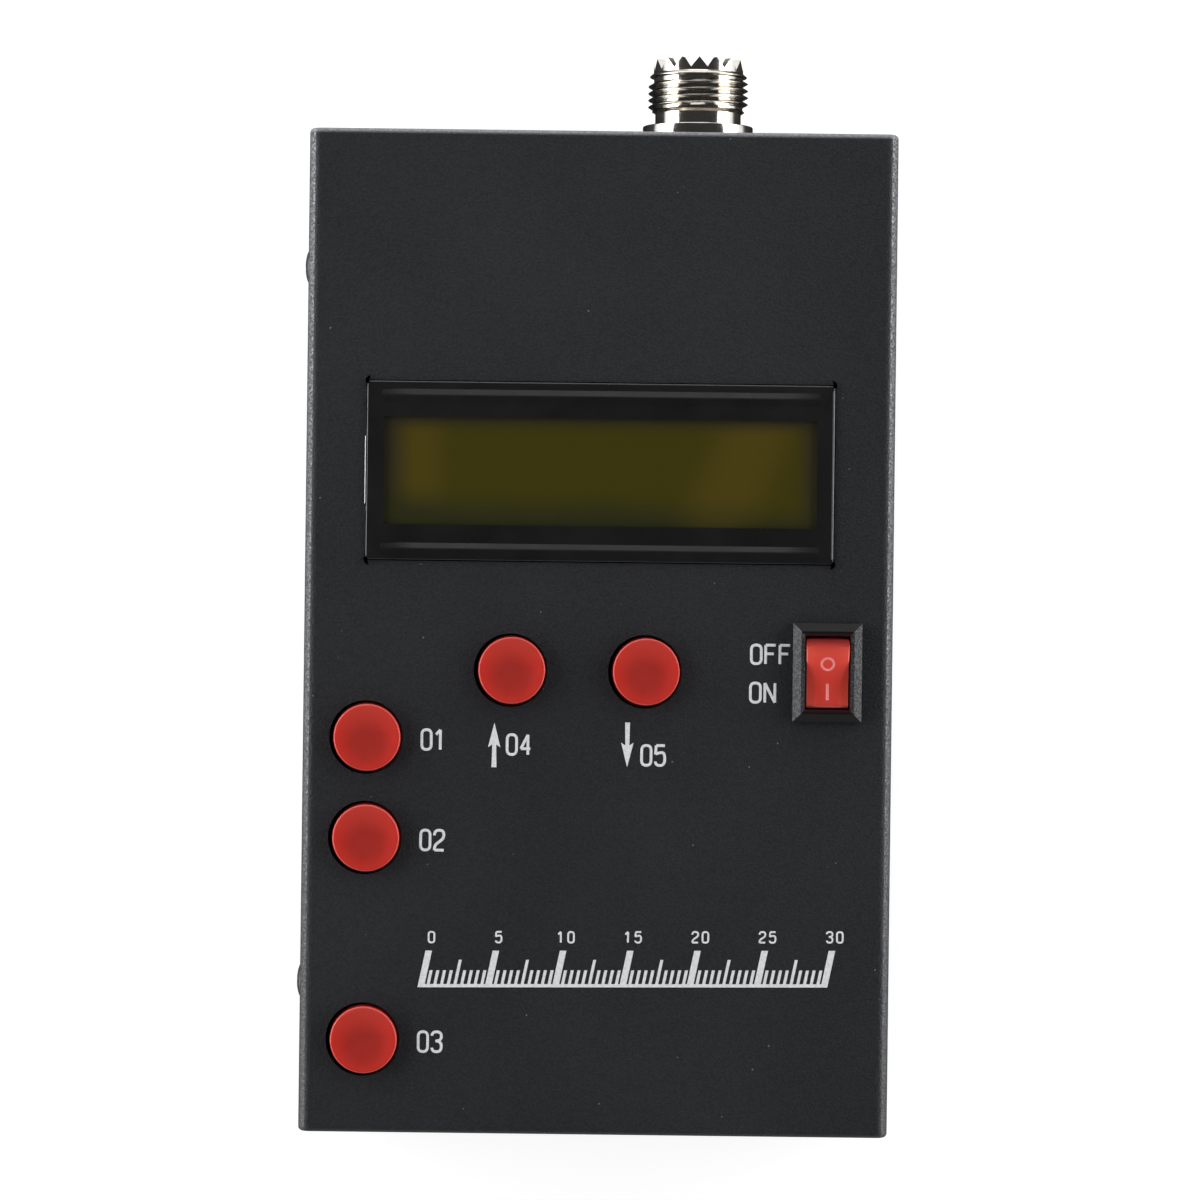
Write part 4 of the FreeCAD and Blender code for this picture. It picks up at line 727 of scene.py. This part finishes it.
ringStroke = ((0, 1), (0, 0.5), (0, 0), (1, 0), (1, 0.5), (1, 1))
characters = {
    "0": (ringStroke,),
    "1": (((0.05, 0.76), (0.5, 1)), ((0.5, 1), (0.5, 0))),
    "2": (((0, 0.74), (0, 1), (1, 1), (1, 0.6), (0.5, 0.42), (0, 0.22), (0, 0)), ((0, 0), (1, 0))),
    "3": (((0, 0.8), (0, 1), (1, 1), (1, 0.54), (0.35, 0.54)),
          ((0.35, 0.54), (1, 0.54), (1, 0), (0, 0), (0, 0.2))),
    "4": (((0.74, 0), (0.74, 1)), ((0.74, 1), (0, 0.3)), ((0, 0.3), (1, 0.3))),
    "5": (((1, 1), (0.08, 1)), ((0.08, 1), (0, 0.56)),
          ((0, 0.56), (0.3, 0.64), (1, 0.66), (1, 0), (0, 0), (0, 0.2))),
    "O": (ringStroke,),
    "F": (((0, 0), (0, 1)), ((0, 1), (1, 1)), ((0, 0.54), (0.82, 0.54))),
    "N": (((0, 0), (0, 1)), ((0, 1), (1, 0)), ((1, 0), (1, 1))),
}
marks = {
    "thick": 0.04, "lift": 0.01, "gap": 0.25, "stroke": 0.42, "shade": (212, 213, 214),
    "words": (  # what it says, its left foot, letter width and height
        ("OFF", (23.12, -4.63), (1.93, 3.28)), ("ON", (23.04, -10.5), (1.95, 3.36)),
        ("01", (-26.9, -18.3), (1.85, 3.45)), ("02", (-26.9, -33.6), (1.85, 3.45)),
        ("03", (-26.9, -64.3), (1.85, 3.45)), ("04", (-13.9, -18.9), (1.85, 3.45)),
        ("05", (6.6, -20.3), (1.85, 3.45)),
    ),
    "arrows": (((-15.66, -20.67), 6.78), ((4.61, -13.6), -6.82)),  # foot and length
    "arrow": {"foot": 0.76, "neck": 0.6, "barb": 1.9, "barbSpot": 3.75, "notch": 3.3},
    "scale": {
        "start": (-26.4, -54.3), "end": (35.0, -53.6), "base": (0.1, 0.5), "baseLift": 0.006,
        "steps": 60, "long": 5.6, "middle": 4.2, "short": 2.6, "lean": 1.15, "wide": 1.0, "narrow": 0.46,
        "figure": (1.15, 1.9), "figureLift": 6.7, "figureLean": 1.35, "figureGap": 0.4,
        "figureStroke": 0.28,
    },
}
inkLook = {"wear": 0.5, "darker": 0.8, "rough": 0.6, "depth": 0.01}


def ink(name, shade):
    finish = Finish(name)
    wearAndHighlight = finish.noise(finish.objectPoint(), inkLook["wear"], 3.0, 0.7)
    dark = tuple(inkLook["darker"] * entry for entry in shade)
    finish.set(Base_Color=finish.mix(finish.span(wearAndHighlight, 0.35, 0.65), shade, dark),
               Roughness=inkLook["rough"], Normal=finish.bump(wearAndHighlight, inkLook["depth"], 0.5))
    return finish.material


def drawStroke(curve, points, corner, size):
    spline = curve.splines.new("POLY" if len(points) == 2 else "NURBS")
    spline.points.add(len(points) - 1)
    for spot, (across, up) in zip(spline.points, points):
        spot.co = ((corner[0] + across * size[0]) * mm, (corner[1] + up * size[1]) * mm, 0, 1)
    if len(points) > 2:
        spline.use_cyclic_u = points is ringStroke
        spline.use_endpoint_u = points is not ringStroke
        spline.order_u = 3
        spline.resolution_u = 6


def strokeMesh(curve, stroke):
    curve.dimensions = "3D"
    curve.bevel_depth = stroke / 2 * mm
    curve.bevel_resolution = 2
    curve.use_fill_caps = True
    holder = bpy.data.objects.new("strokes", curve)
    mesh = bpy.data.meshes.new_from_object(holder)
    bpy.data.objects.remove(holder)
    bpy.data.curves.remove(curve)
    shape = bmesh.new()
    shape.from_mesh(mesh)
    bpy.data.meshes.remove(mesh)
    bmesh.ops.scale(shape, vec=(1, 1, marks["thick"] / stroke), verts=shape.verts)
    return shape


def written(words, corner, size, stroke, gap):
    curve = bpy.data.curves.new("strokes", "CURVE")
    inner = (size[0] - stroke, size[1] - stroke)
    for place, character in enumerate(words):
        left = corner[0] + stroke / 2 + place * (size[0] + gap)
        for points in characters[character]:
            drawStroke(curve, points, (left, corner[1] + stroke / 2), inner)
    return strokeMesh(curve, stroke)


def flatShape(points):
    shape = bmesh.new()
    shape.faces.new([shape.verts.new((x * mm, y * mm, -marks["thick"] / 2 * mm)) for x, y in points])
    return pulledUp(shape, (0, 0, marks["thick"]))


def arrowShape(foot, length):
    size = marks["arrow"]
    way = 1 if length > 0 else -1
    x, y = foot
    tip = y + length
    half = [(size["foot"] / 2, y), (size["neck"] / 2, tip - way * size["notch"]),
            (size["barb"] / 2, tip - way * size["barbSpot"])]
    left, right = [(x - out, up) for out, up in half], [(x + out, up) for out, up in half[::-1]]
    return flatShape(left + [(x, tip)] + right)


def scaleShape():  # every tenth stroke is long and has a figure, and every fifth is of middle length
    plan = marks["scale"]
    start, end, rise = Vector(plan["start"]), Vector(plan["end"]), Vector(plan["base"])
    shape = flatShape([start, end, end + rise, start + rise])
    bmesh.ops.translate(shape, vec=(0, 0, plan["baseLift"] * mm), verts=shape.verts)
    for step in range(plan["steps"] + 1):
        foot = start.lerp(end, step / plan["steps"])
        tall = plan["long"] if step % 10 == 0 else plan["middle"] if step % 5 == 0 else plan["short"]
        top = foot + Vector((plan["lean"] * tall / plan["long"], tall))
        half = Vector(((plan["wide"] if step % 10 == 0 else plan["narrow"]) / 2, 0))
        addTo(shape, flatShape([foot - half, foot + half, top + half, top - half]))
        if step % 10 == 0:
            words = str(step // 2)
            run = len(words) * plan["figure"][0] + (len(words) - 1) * plan["figureGap"]
            corner = (foot.x + plan["lean"] * plan["figureLean"] - run / 2, foot.y + plan["figureLift"])
            addTo(shape, written(words, corner, plan["figure"], plan["figureStroke"], plan["figureGap"]))
    return shape


def placeMarks(shape, name, finish):
    bmesh.ops.translate(shape, vec=onFace(0, 0, marks["lift"]), verts=shape.verts)
    finishPiece(shape, name, "case", finish, angle=20)


def buildMarks():
    pale = ink("panel_print", paint(*marks["shade"]))
    letters = bmesh.new()
    for words, corner, size in marks["words"]:
        addTo(letters, written(words, corner, size, marks["stroke"], marks["gap"]))
    placeMarks(letters, "panel_figures", pale)
    arrows = bmesh.new()
    for foot, length in marks["arrows"]:
        addTo(arrows, arrowShape(foot, length))
    placeMarks(arrows, "panel_arrows", pale)
    placeMarks(scaleShape(), "panel_scale", pale)
    print("printed marks made")


# Rocker switch: the lever and its two marks are drawn level about the pivot and then tipped

lever = {
    "crest": (4.614, 2.9), "crestRound": 0.3, "crestSteps": 8, "keel": 2.0, "sweep": 5.58,
    "sweepSteps": 6, "valley": 1.9, "valleySteps": 20, "width": 6.46, "edgeRound": 0.14, "tilt": 11.0,
    "stub": (1.0, 8.2), "boss": (1.75, 4.0), "bore": (1.1, 0.6),  # radius, then length or roof
    "ring": (0.925, 0.39), "ringSpot": 1.76, "ringSteps": 24,
    "bar": (0.45, 2.44), "barSpot": -2.52, "barSteps": 8, "markShade": (238, 138, 136),
}
leverLook = {
    "reach": 5.5,
    "tones": (  # how far it is up the lever, and the colour there: painted light and shade, lighter towards the crest, painted darker down the end wall that sinks into the frame's shadow, and lighter at the gap
        (-5.0, (178, 52, 43)), (-2.5, (192, 57, 46)), (0.4, (204, 62, 51)), (3.3, (212, 67, 52)),
        (4.55, (192, 58, 44)), (4.9, (132, 34, 28)), (5.3, (88, 21, 20)), (5.5, (130, 28, 26)),
    ),
    "side": (238, 84, 68), "sideRun": (1.4, 3.1), "sideFade": (-4.5, 2.0), "sideEnd": 4.6,
    "rim": (228, 132, 122), "rimSide": 3.08, "rimFoot": -4.55, "rimEnd": 4.2, "rimShare": 0.6,
    "cloud": (190, 58, 50), "cloudShare": 0.12,
}
frameLook = {
    "grain": 0.28, "dark": (26, 26, 28), "pale": (72, 73, 75), "ends": (11, 11, 12), "well": (40, 11, 13),
    "wellSize": (3.5, 5.95), "rough": (0.38, 0.46), "specular": 0.2, "depth": 0.09,
}
leverPivot = Vector(next(joint["pos_m"] for joint in frame["joints"] if joint["name"] == "rocker_hinge"))
leverTurn = Matrix.Rotation(radians(lever["tilt"]), 4, "X")


def leverPlastic():
    look = leverLook
    finish = Finish("lever_red")
    point = finish.objectPoint(leverPivot, (radians(lever["tilt"]), 0, 0))
    x, y, _ = finish.axes(point)
    cloud = finish.noise(point, redGloss["cloud"])
    reach = look["reach"]
    # painted light and shade along the lever, from the tones above
    stops = [((place + reach) / (2 * reach), paint(*tone)) for place, tone in look["tones"]]
    shade = finish.node("ValToRGB", {"stops": stops}, {"Fac": finish.span(y, -reach * mm, reach * mm)})
    side = finish.away(x)
    start, end = look["sideRun"]
    low, high = look["sideFade"]
    # painted light on the lower sides, where the frame's walls shade them
    shaded = finish.span(side, start * mm, end * mm) * finish.span(y, low * mm, high * mm, 1.0, 0.3)
    shade = finish.mix(shaded * (y < look["sideEnd"] * mm), shade, paint(*look["side"]))
    # painted highlight along the bevelled side and foot edges
    rim = finish.above(side > look["rimSide"] * mm, y < look["rimFoot"] * mm) * (y < look["rimEnd"] * mm)
    shade = finish.mix(rim * look["rimShare"], shade, paint(*look["rim"]))
    shade = finish.mix(cloud * look["cloudShare"], shade, paint(*look["cloud"]))
    setRedGloss(finish, point, cloud, shade)
    return finish.material


def frameFinish():  # the sloping sides are coarser and painted paler than the ends: a painted highlight from the side lamps
    look = frameLook
    finish = Finish("frame_plastic")
    low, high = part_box("rocker_frame")
    half = (high - low) / 2
    point = finish.objectPoint((low + high) / 2)
    x, y, _ = finish.axes(point)
    beside, beyond = finish.away(x), finish.away(y)
    grain = finish.noise(point, look["grain"], 2.0, 0.6)
    speckle = finish.mix(finish.span(grain, 0.44, 0.6), paint(*look["dark"]), paint(*look["pale"]))
    # painted highlight: the sloping sides paler and speckled, the ends dark
    shade = finish.mix(beside - half.x > beyond - half.y, paint(*look["ends"]), speckle)
    # painted red light in the well round the lever
    wide, tall = look["wellSize"]
    shade = finish.mix((beside < wide * mm) * (beyond < tall * mm), shade, paint(*look["well"]))
    finish.set(Base_Color=shade, Roughness=finish.spread(grain, *look["rough"]),
               Specular_IOR_Level=look["specular"], Normal=finish.bump(grain, look["depth"], 0.5))
    return finish.material


def leverTop(y):
    half, rise = lever["crest"]
    sag = rise - lever["valley"]
    bow = (half ** 2 + sag ** 2) / (2 * sag)
    return lever["valley"] + bow - (bow ** 2 - y ** 2) ** 0.5


def leverOutline():
    half, rise = lever["crest"]
    sweep, reach = lever["sweep"], lever["crestRound"]
    low, high = -degrees(asin(lever["keel"] / sweep)), degrees(atan2(rise, half))
    end = arc(0, 0, sweep, low, high - degrees(reach / sweep), lever["sweepSteps"])
    begin, middle = Vector(end[-1]), Vector((half, rise))
    far = Vector((half - reach, leverTop(half - reach)))
    for step in range(1, lever["crestSteps"] + 1):
        share = step / lever["crestSteps"]
        end.append(tuple(begin.lerp(middle, share).lerp(middle.lerp(far, share), share)))
    spots = [far.x * (1 - 2 * step / lever["valleySteps"]) for step in range(1, lever["valleySteps"])]
    return end + [(spot, leverTop(spot)) for spot in spots] + [(-y, z) for y, z in end[::-1]]


def buildLever():
    side = lever["width"] / 2
    shape = bmesh.new()
    shape.faces.new([shape.verts.new((-side * mm, y * mm, z * mm)) for y, z in leverOutline()])
    pulledUp(shape, (2 * side, 0, 0))
    bmesh.ops.recalc_face_normals(shape, faces=shape.faces)
    rims = [edge for edge in shape.edges if abs(edge.verts[0].co.x - edge.verts[1].co.x) < 1e-7
            and abs(abs(edge.verts[0].co.x) - side * mm) < 1e-7 and len(edge.link_faces) == 2
            and any(abs(face.normal.x) > 0.99 for face in edge.link_faces)]
    bevelled(shape, rims, lever["edgeRound"], 3)
    stub = cylinderShape(*lever["stub"])
    bmesh.ops.rotate(stub, matrix=Matrix.Rotation(radians(90), 3, "Y"), verts=stub.verts)
    shape = combined(shape, stub, "UNION")
    radius, drop = lever["boss"]
    shape = combined(shape, cylinderShape(radius, drop, -drop / 2), "UNION")
    radius, roof = lever["bore"]
    shape = combined(shape, cylinderShape(radius, roof + drop + 1, (roof - drop - 1) / 2), "DIFFERENCE")
    shift(shape, leverPivot, leverTurn)
    finishPiece(shape, "rocker_lever", "rocker", leverPlastic(), ["rocker"], 30)
    print("rocker lever made")


def buildLeverMarks():
    middle, stroke = lever["ring"]
    steps = lever["ringSteps"]
    curve = bpy.data.curves.new("strokes", "CURVE")
    spline = curve.splines.new("NURBS")
    spots = arc(0, lever["ringSpot"], middle / cos(pi / steps), 0, 360 - 360 / steps, steps - 1)
    spline.points.add(len(spots) - 1)
    for spot, (x, y) in zip(spline.points, spots):
        spot.co = (x * mm, y * mm, 0, 1)
    spline.use_cyclic_u = True
    spline.order_u = 3
    shape = strokeMesh(curve, stroke)
    wide, tall = lever["bar"]
    bar = bmesh.new()
    bmesh.ops.create_grid(bar, x_segments=1, y_segments=lever["barSteps"], size=0.5)
    bmesh.ops.scale(bar, vec=(wide * mm, tall * mm, 1), verts=bar.verts)
    bmesh.ops.translate(bar, vec=(0, lever["barSpot"] * mm, -marks["thick"] / 2 * mm), verts=bar.verts)
    addTo(shape, pulledUp(bar, (0, 0, marks["thick"])))
    for vert in shape.verts:  # the print follows the hollow of the lever
        vert.co.z += leverTop(vert.co.y / mm) * mm
    shift(shape, leverPivot, leverTurn)
    pale = ink("rocker_print", paint(*lever["markShade"]))
    finishPiece(shape, "rocker_marks", "rocker", pale, angle=30)
    print("rocker marks made")


# Painted sheet of the case

coat = {
    "grain": 0.3, "depth": 0.1, "dark": (25, 26, 28), "pale": (36, 37, 40), "cloud": 30,
    "rough": (0.42, 0.5), "specular": 0.3,
    "dustEvery": 2.6, "dustSize": 0.05, "dustShare": 0.6, "dust": (124, 126, 128),
    "bend": 0.95, "bendStart": 0.06, "bendDrop": (-1.7, -1.0), "bendDark": (44, 45, 48),
    "bendHighlight": (134, 136, 139), "topBend": 0.9, "topEnd": 0.2, "topHighlight": (170, 172, 175),
    "speck": (190, 192, 194), "speckRow": 0.83, "speckWide": 0.2, "coarse": 0.62,
}


def powderCoat():  # painted highlight: the bends are painted paler and coarser than the flat sheet, brighter towards the top of the case, with a row of painted glints along the side bends
    finish = Finish("powder_coat")
    point = finish.objectPoint()
    grain = finish.noise(point, coat["grain"], 1.5, 0.6)
    cloud = finish.noise(point, coat["cloud"])
    shade = finish.mix(finish.span(grain, 0.35, 0.65), paint(*coat["dark"]), paint(*coat["pale"]))
    dust = finish.node("TexVoronoi", {"feature": "F1"}, {
        "Vector": point, "Scale": 1 / (coat["dustEvery"] * mm)}) < coat["dustSize"]
    dust = dust * (finish.noise(point, coat["dustEvery"], 0.0) > 0.6)
    shade = finish.mix(dust * coat["dustShare"], shade, paint(*coat["dust"]))
    x, y, z = finish.axes(finish.objectPoint(faceMiddle))
    half = (coverHigh - coverLow) / 2
    start, end = coat["bendDrop"]
    upper = finish.span(z, start * mm, end * mm)
    # painted highlight on the side bends, fading towards the outer edge and towards the bottom of the case
    across, inner = finish.away(x), half.x - coat["bend"] * mm
    sides = finish.span(across, inner - coat["bendStart"] * mm, inner, soft=True)
    sides = sides * finish.span(across, inner, half.x, 1.0, 0.5)
    sides = sides * finish.span(y, -half.y * 0.8, half.y, 0.3, 0.95) * upper
    coarse = finish.noise(point, coat["grain"] * 1.3, 2.0, 0.7)
    light = finish.mix(finish.span(coarse, 0.4, coat["coarse"]), paint(*coat["bendDark"]),
                       paint(*coat["bendHighlight"]))
    shade = finish.mix(sides, shade, light)
    # painted highlight on the upper end bend
    start, end = half.y - coat["topBend"] * mm, half.y - coat["topEnd"] * mm
    top = finish.span(y, start, end, 0.0, 0.9, True) * upper
    light = finish.mix(coarse, paint(*coat["bendDark"]), paint(*coat["topHighlight"]))
    shade = finish.mix(top, shade, light)
    # painted glints in a row along the side bends, more towards the top
    row = finish.away(across, half.x - coat["speckRow"] * mm)
    paintedGlints = finish.span(row, 0.0, coat["speckWide"] * mm, 1.0, 0.0) * upper
    paintedGlints = paintedGlints * (coarse > coat["coarse"]) * finish.span(y, -half.y, half.y, 0.0, 0.7)
    shade = finish.mix(paintedGlints, shade, paint(*coat["speck"]))
    finish.set(Base_Color=shade, Roughness=finish.spread(cloud, *coat["rough"]),
               Specular_IOR_Level=coat["specular"], Normal=finish.bump(grain, coat["depth"]))
    return finish.material


# Finishes of the other solids

boardLook = {
    "base": (14, 70, 38), "lane": (28, 104, 58), "pad": (176, 172, 160), "laneEvery": 9, "padEvery": 5,
    "padSize": 0.14, "rough": (0.32, 0.25), "metal": 0.9, "depth": 0.03,
}
plainLooks = {  # paint, roughness, metal, grain size, grain depth and how much the shade changes
    "blackened_steel": ((96, 96, 98), 0.34, 0.8, 0.6, 0.006, 0.2),
    "zinc_steel": ((190, 190, 186), 0.32, 1.0, 0.7, 0.004, 0.12),
    "standoff_brass": ((206, 172, 98), 0.28, 1.0, 0.6, 0.004, 0.12),
    "foot_rubber": ((26, 26, 27), 0.8, 0.0, 0.35, 0.03, 0.2),
    "gold_plate": ((226, 184, 96), 0.22, 1.0, 0.5, 0.002, 0.08),
    "insulator_plastic": ((226, 222, 210), 0.45, 0.0, 0.8, 0.004, 0.05),
    "chip_resin": ((30, 30, 31), 0.6, 0.0, 0.15, 0.01, 0.15),
    "stem_plastic": ((222, 218, 206), 0.4, 0.0, 0.8, 0.003, 0.06),
    "backlight_plastic": ((190, 186, 120), 0.5, 0.0, 1.5, 0.003, 0.06),
    "strip_rubber": ((190, 140, 140), 0.7, 0.0, 0.5, 0.008, 0.15),
    "spring_steel": ((180, 180, 178), 0.3, 1.0, 0.4, 0.003, 0.1),
    "contact_brass": ((208, 176, 104), 0.3, 1.0, 0.5, 0.003, 0.1),
    "ferrite": ((150, 40, 34), 0.45, 0.0, 0.3, 0.01, 0.15),
    "copper_wire": ((190, 96, 50), 0.25, 1.0, 0.4, 0.002, 0.15),
    "can_metal": ((196, 196, 194), 0.3, 1.0, 0.9, 0.004, 0.08),
    "trimmer_plastic": ((40, 84, 170), 0.35, 0.0, 0.7, 0.004, 0.1),
    "wire_red": ((170, 34, 28), 0.4, 0.0, 0.6, 0.004, 0.1),
    "wire_white": ((226, 224, 216), 0.4, 0.0, 0.6, 0.004, 0.06),
    "wire_black": ((28, 28, 29), 0.4, 0.0, 0.6, 0.004, 0.15),
}


def plainFinish(name, shade, rough, metal, size, depth, change, **extra):
    finish = Finish(name)
    point = finish.objectPoint()
    grain = finish.noise(point, size, 3.0, 0.55)
    cloud = finish.noise(point, size * 12)
    darker = tuple(entry * (1 - change) for entry in shade[:3]) + (1.0,)
    finish.set(Base_Color=finish.mix(finish.span(cloud * 0.5 + grain * 0.5, 0.35, 0.65), darker, shade),
               Roughness=finish.spread(grain, rough * 0.88, rough * 1.12), Metallic=metal,
               Normal=finish.bump(grain, depth, 0.5), **extra)
    return finish.material


def circuitBoard():
    look = boardLook
    finish = Finish("circuit_board")
    point = finish.objectPoint()
    lanes = finish.node("TexBrick", {"offset": 0.37}, {
        "Vector": point, "Scale": 1 / (look["laneEvery"] * mm), "Mortar Size": 0.06, "Brick Width": 0.9,
        "Row Height": 0.28, "Mortar Smooth": 0.1})
    lane = Socket(finish, lanes.plug.node.outputs["Fac"])
    pads = finish.node("TexVoronoi", {"feature": "F1"}, {
        "Vector": point, "Scale": 1 / (look["padEvery"] * mm)}) < look["padSize"]
    shade = finish.mix(lane, paint(*look["base"]), paint(*look["lane"]))
    shade = finish.mix(pads, shade, paint(*look["pad"]))
    finish.set(Base_Color=shade, Roughness=finish.span(pads, 0, 1, *look["rough"]),
               Metallic=pads * look["metal"], Normal=finish.bump(lane, look["depth"], 0.6))
    return finish.material


slotFinishes = {
    "case_paint": powderCoat(),
    "red_plastic": redPlastic(),
    "bezel_black": bezelPaint(),
    "display_glass": displayFinish(),
    "circuit_board": circuitBoard(),
    "nickel_plate": plainFinish("nickel", (0.74, 0.71, 0.66, 1.0), 0.12, 1.0, 0.8, 0.002, 0.06,
                                Specular_Tint=(0.45, 0.43, 0.4, 1.0)),
    "black_plastic": plainFinish("black_moulded", paint(26, 26, 28), 0.42, 0.0, 0.3, 0.11, 0.3,
                                 Specular_IOR_Level=0.4),
}
for slot, (shade, *rest) in plainLooks.items():
    slotFinishes[slot] = plainFinish(slot, paint(*shade), *rest)


def dressNodes():
    slots = {entry["node"]: entry["material_slot"] for entry in frame["record"]["subparts"]}
    for node, slot in slots.items():
        thing = frame["nodes"][node]
        thing.data.materials.clear()
        thing.data.materials.append(slotFinishes[slot])
    frame["nodes"]["rocker_frame"].data.materials[0] = frameFinish()
    print("finishes on the solids:", len(slots))


buildCamera()
buildLamps()
lightSurround()
dressNodes()
buildGround()
buildCaps()
buildShell()
buildBezel()
buildSideScrews()
buildLever()
buildLeverMarks()
buildMarks()
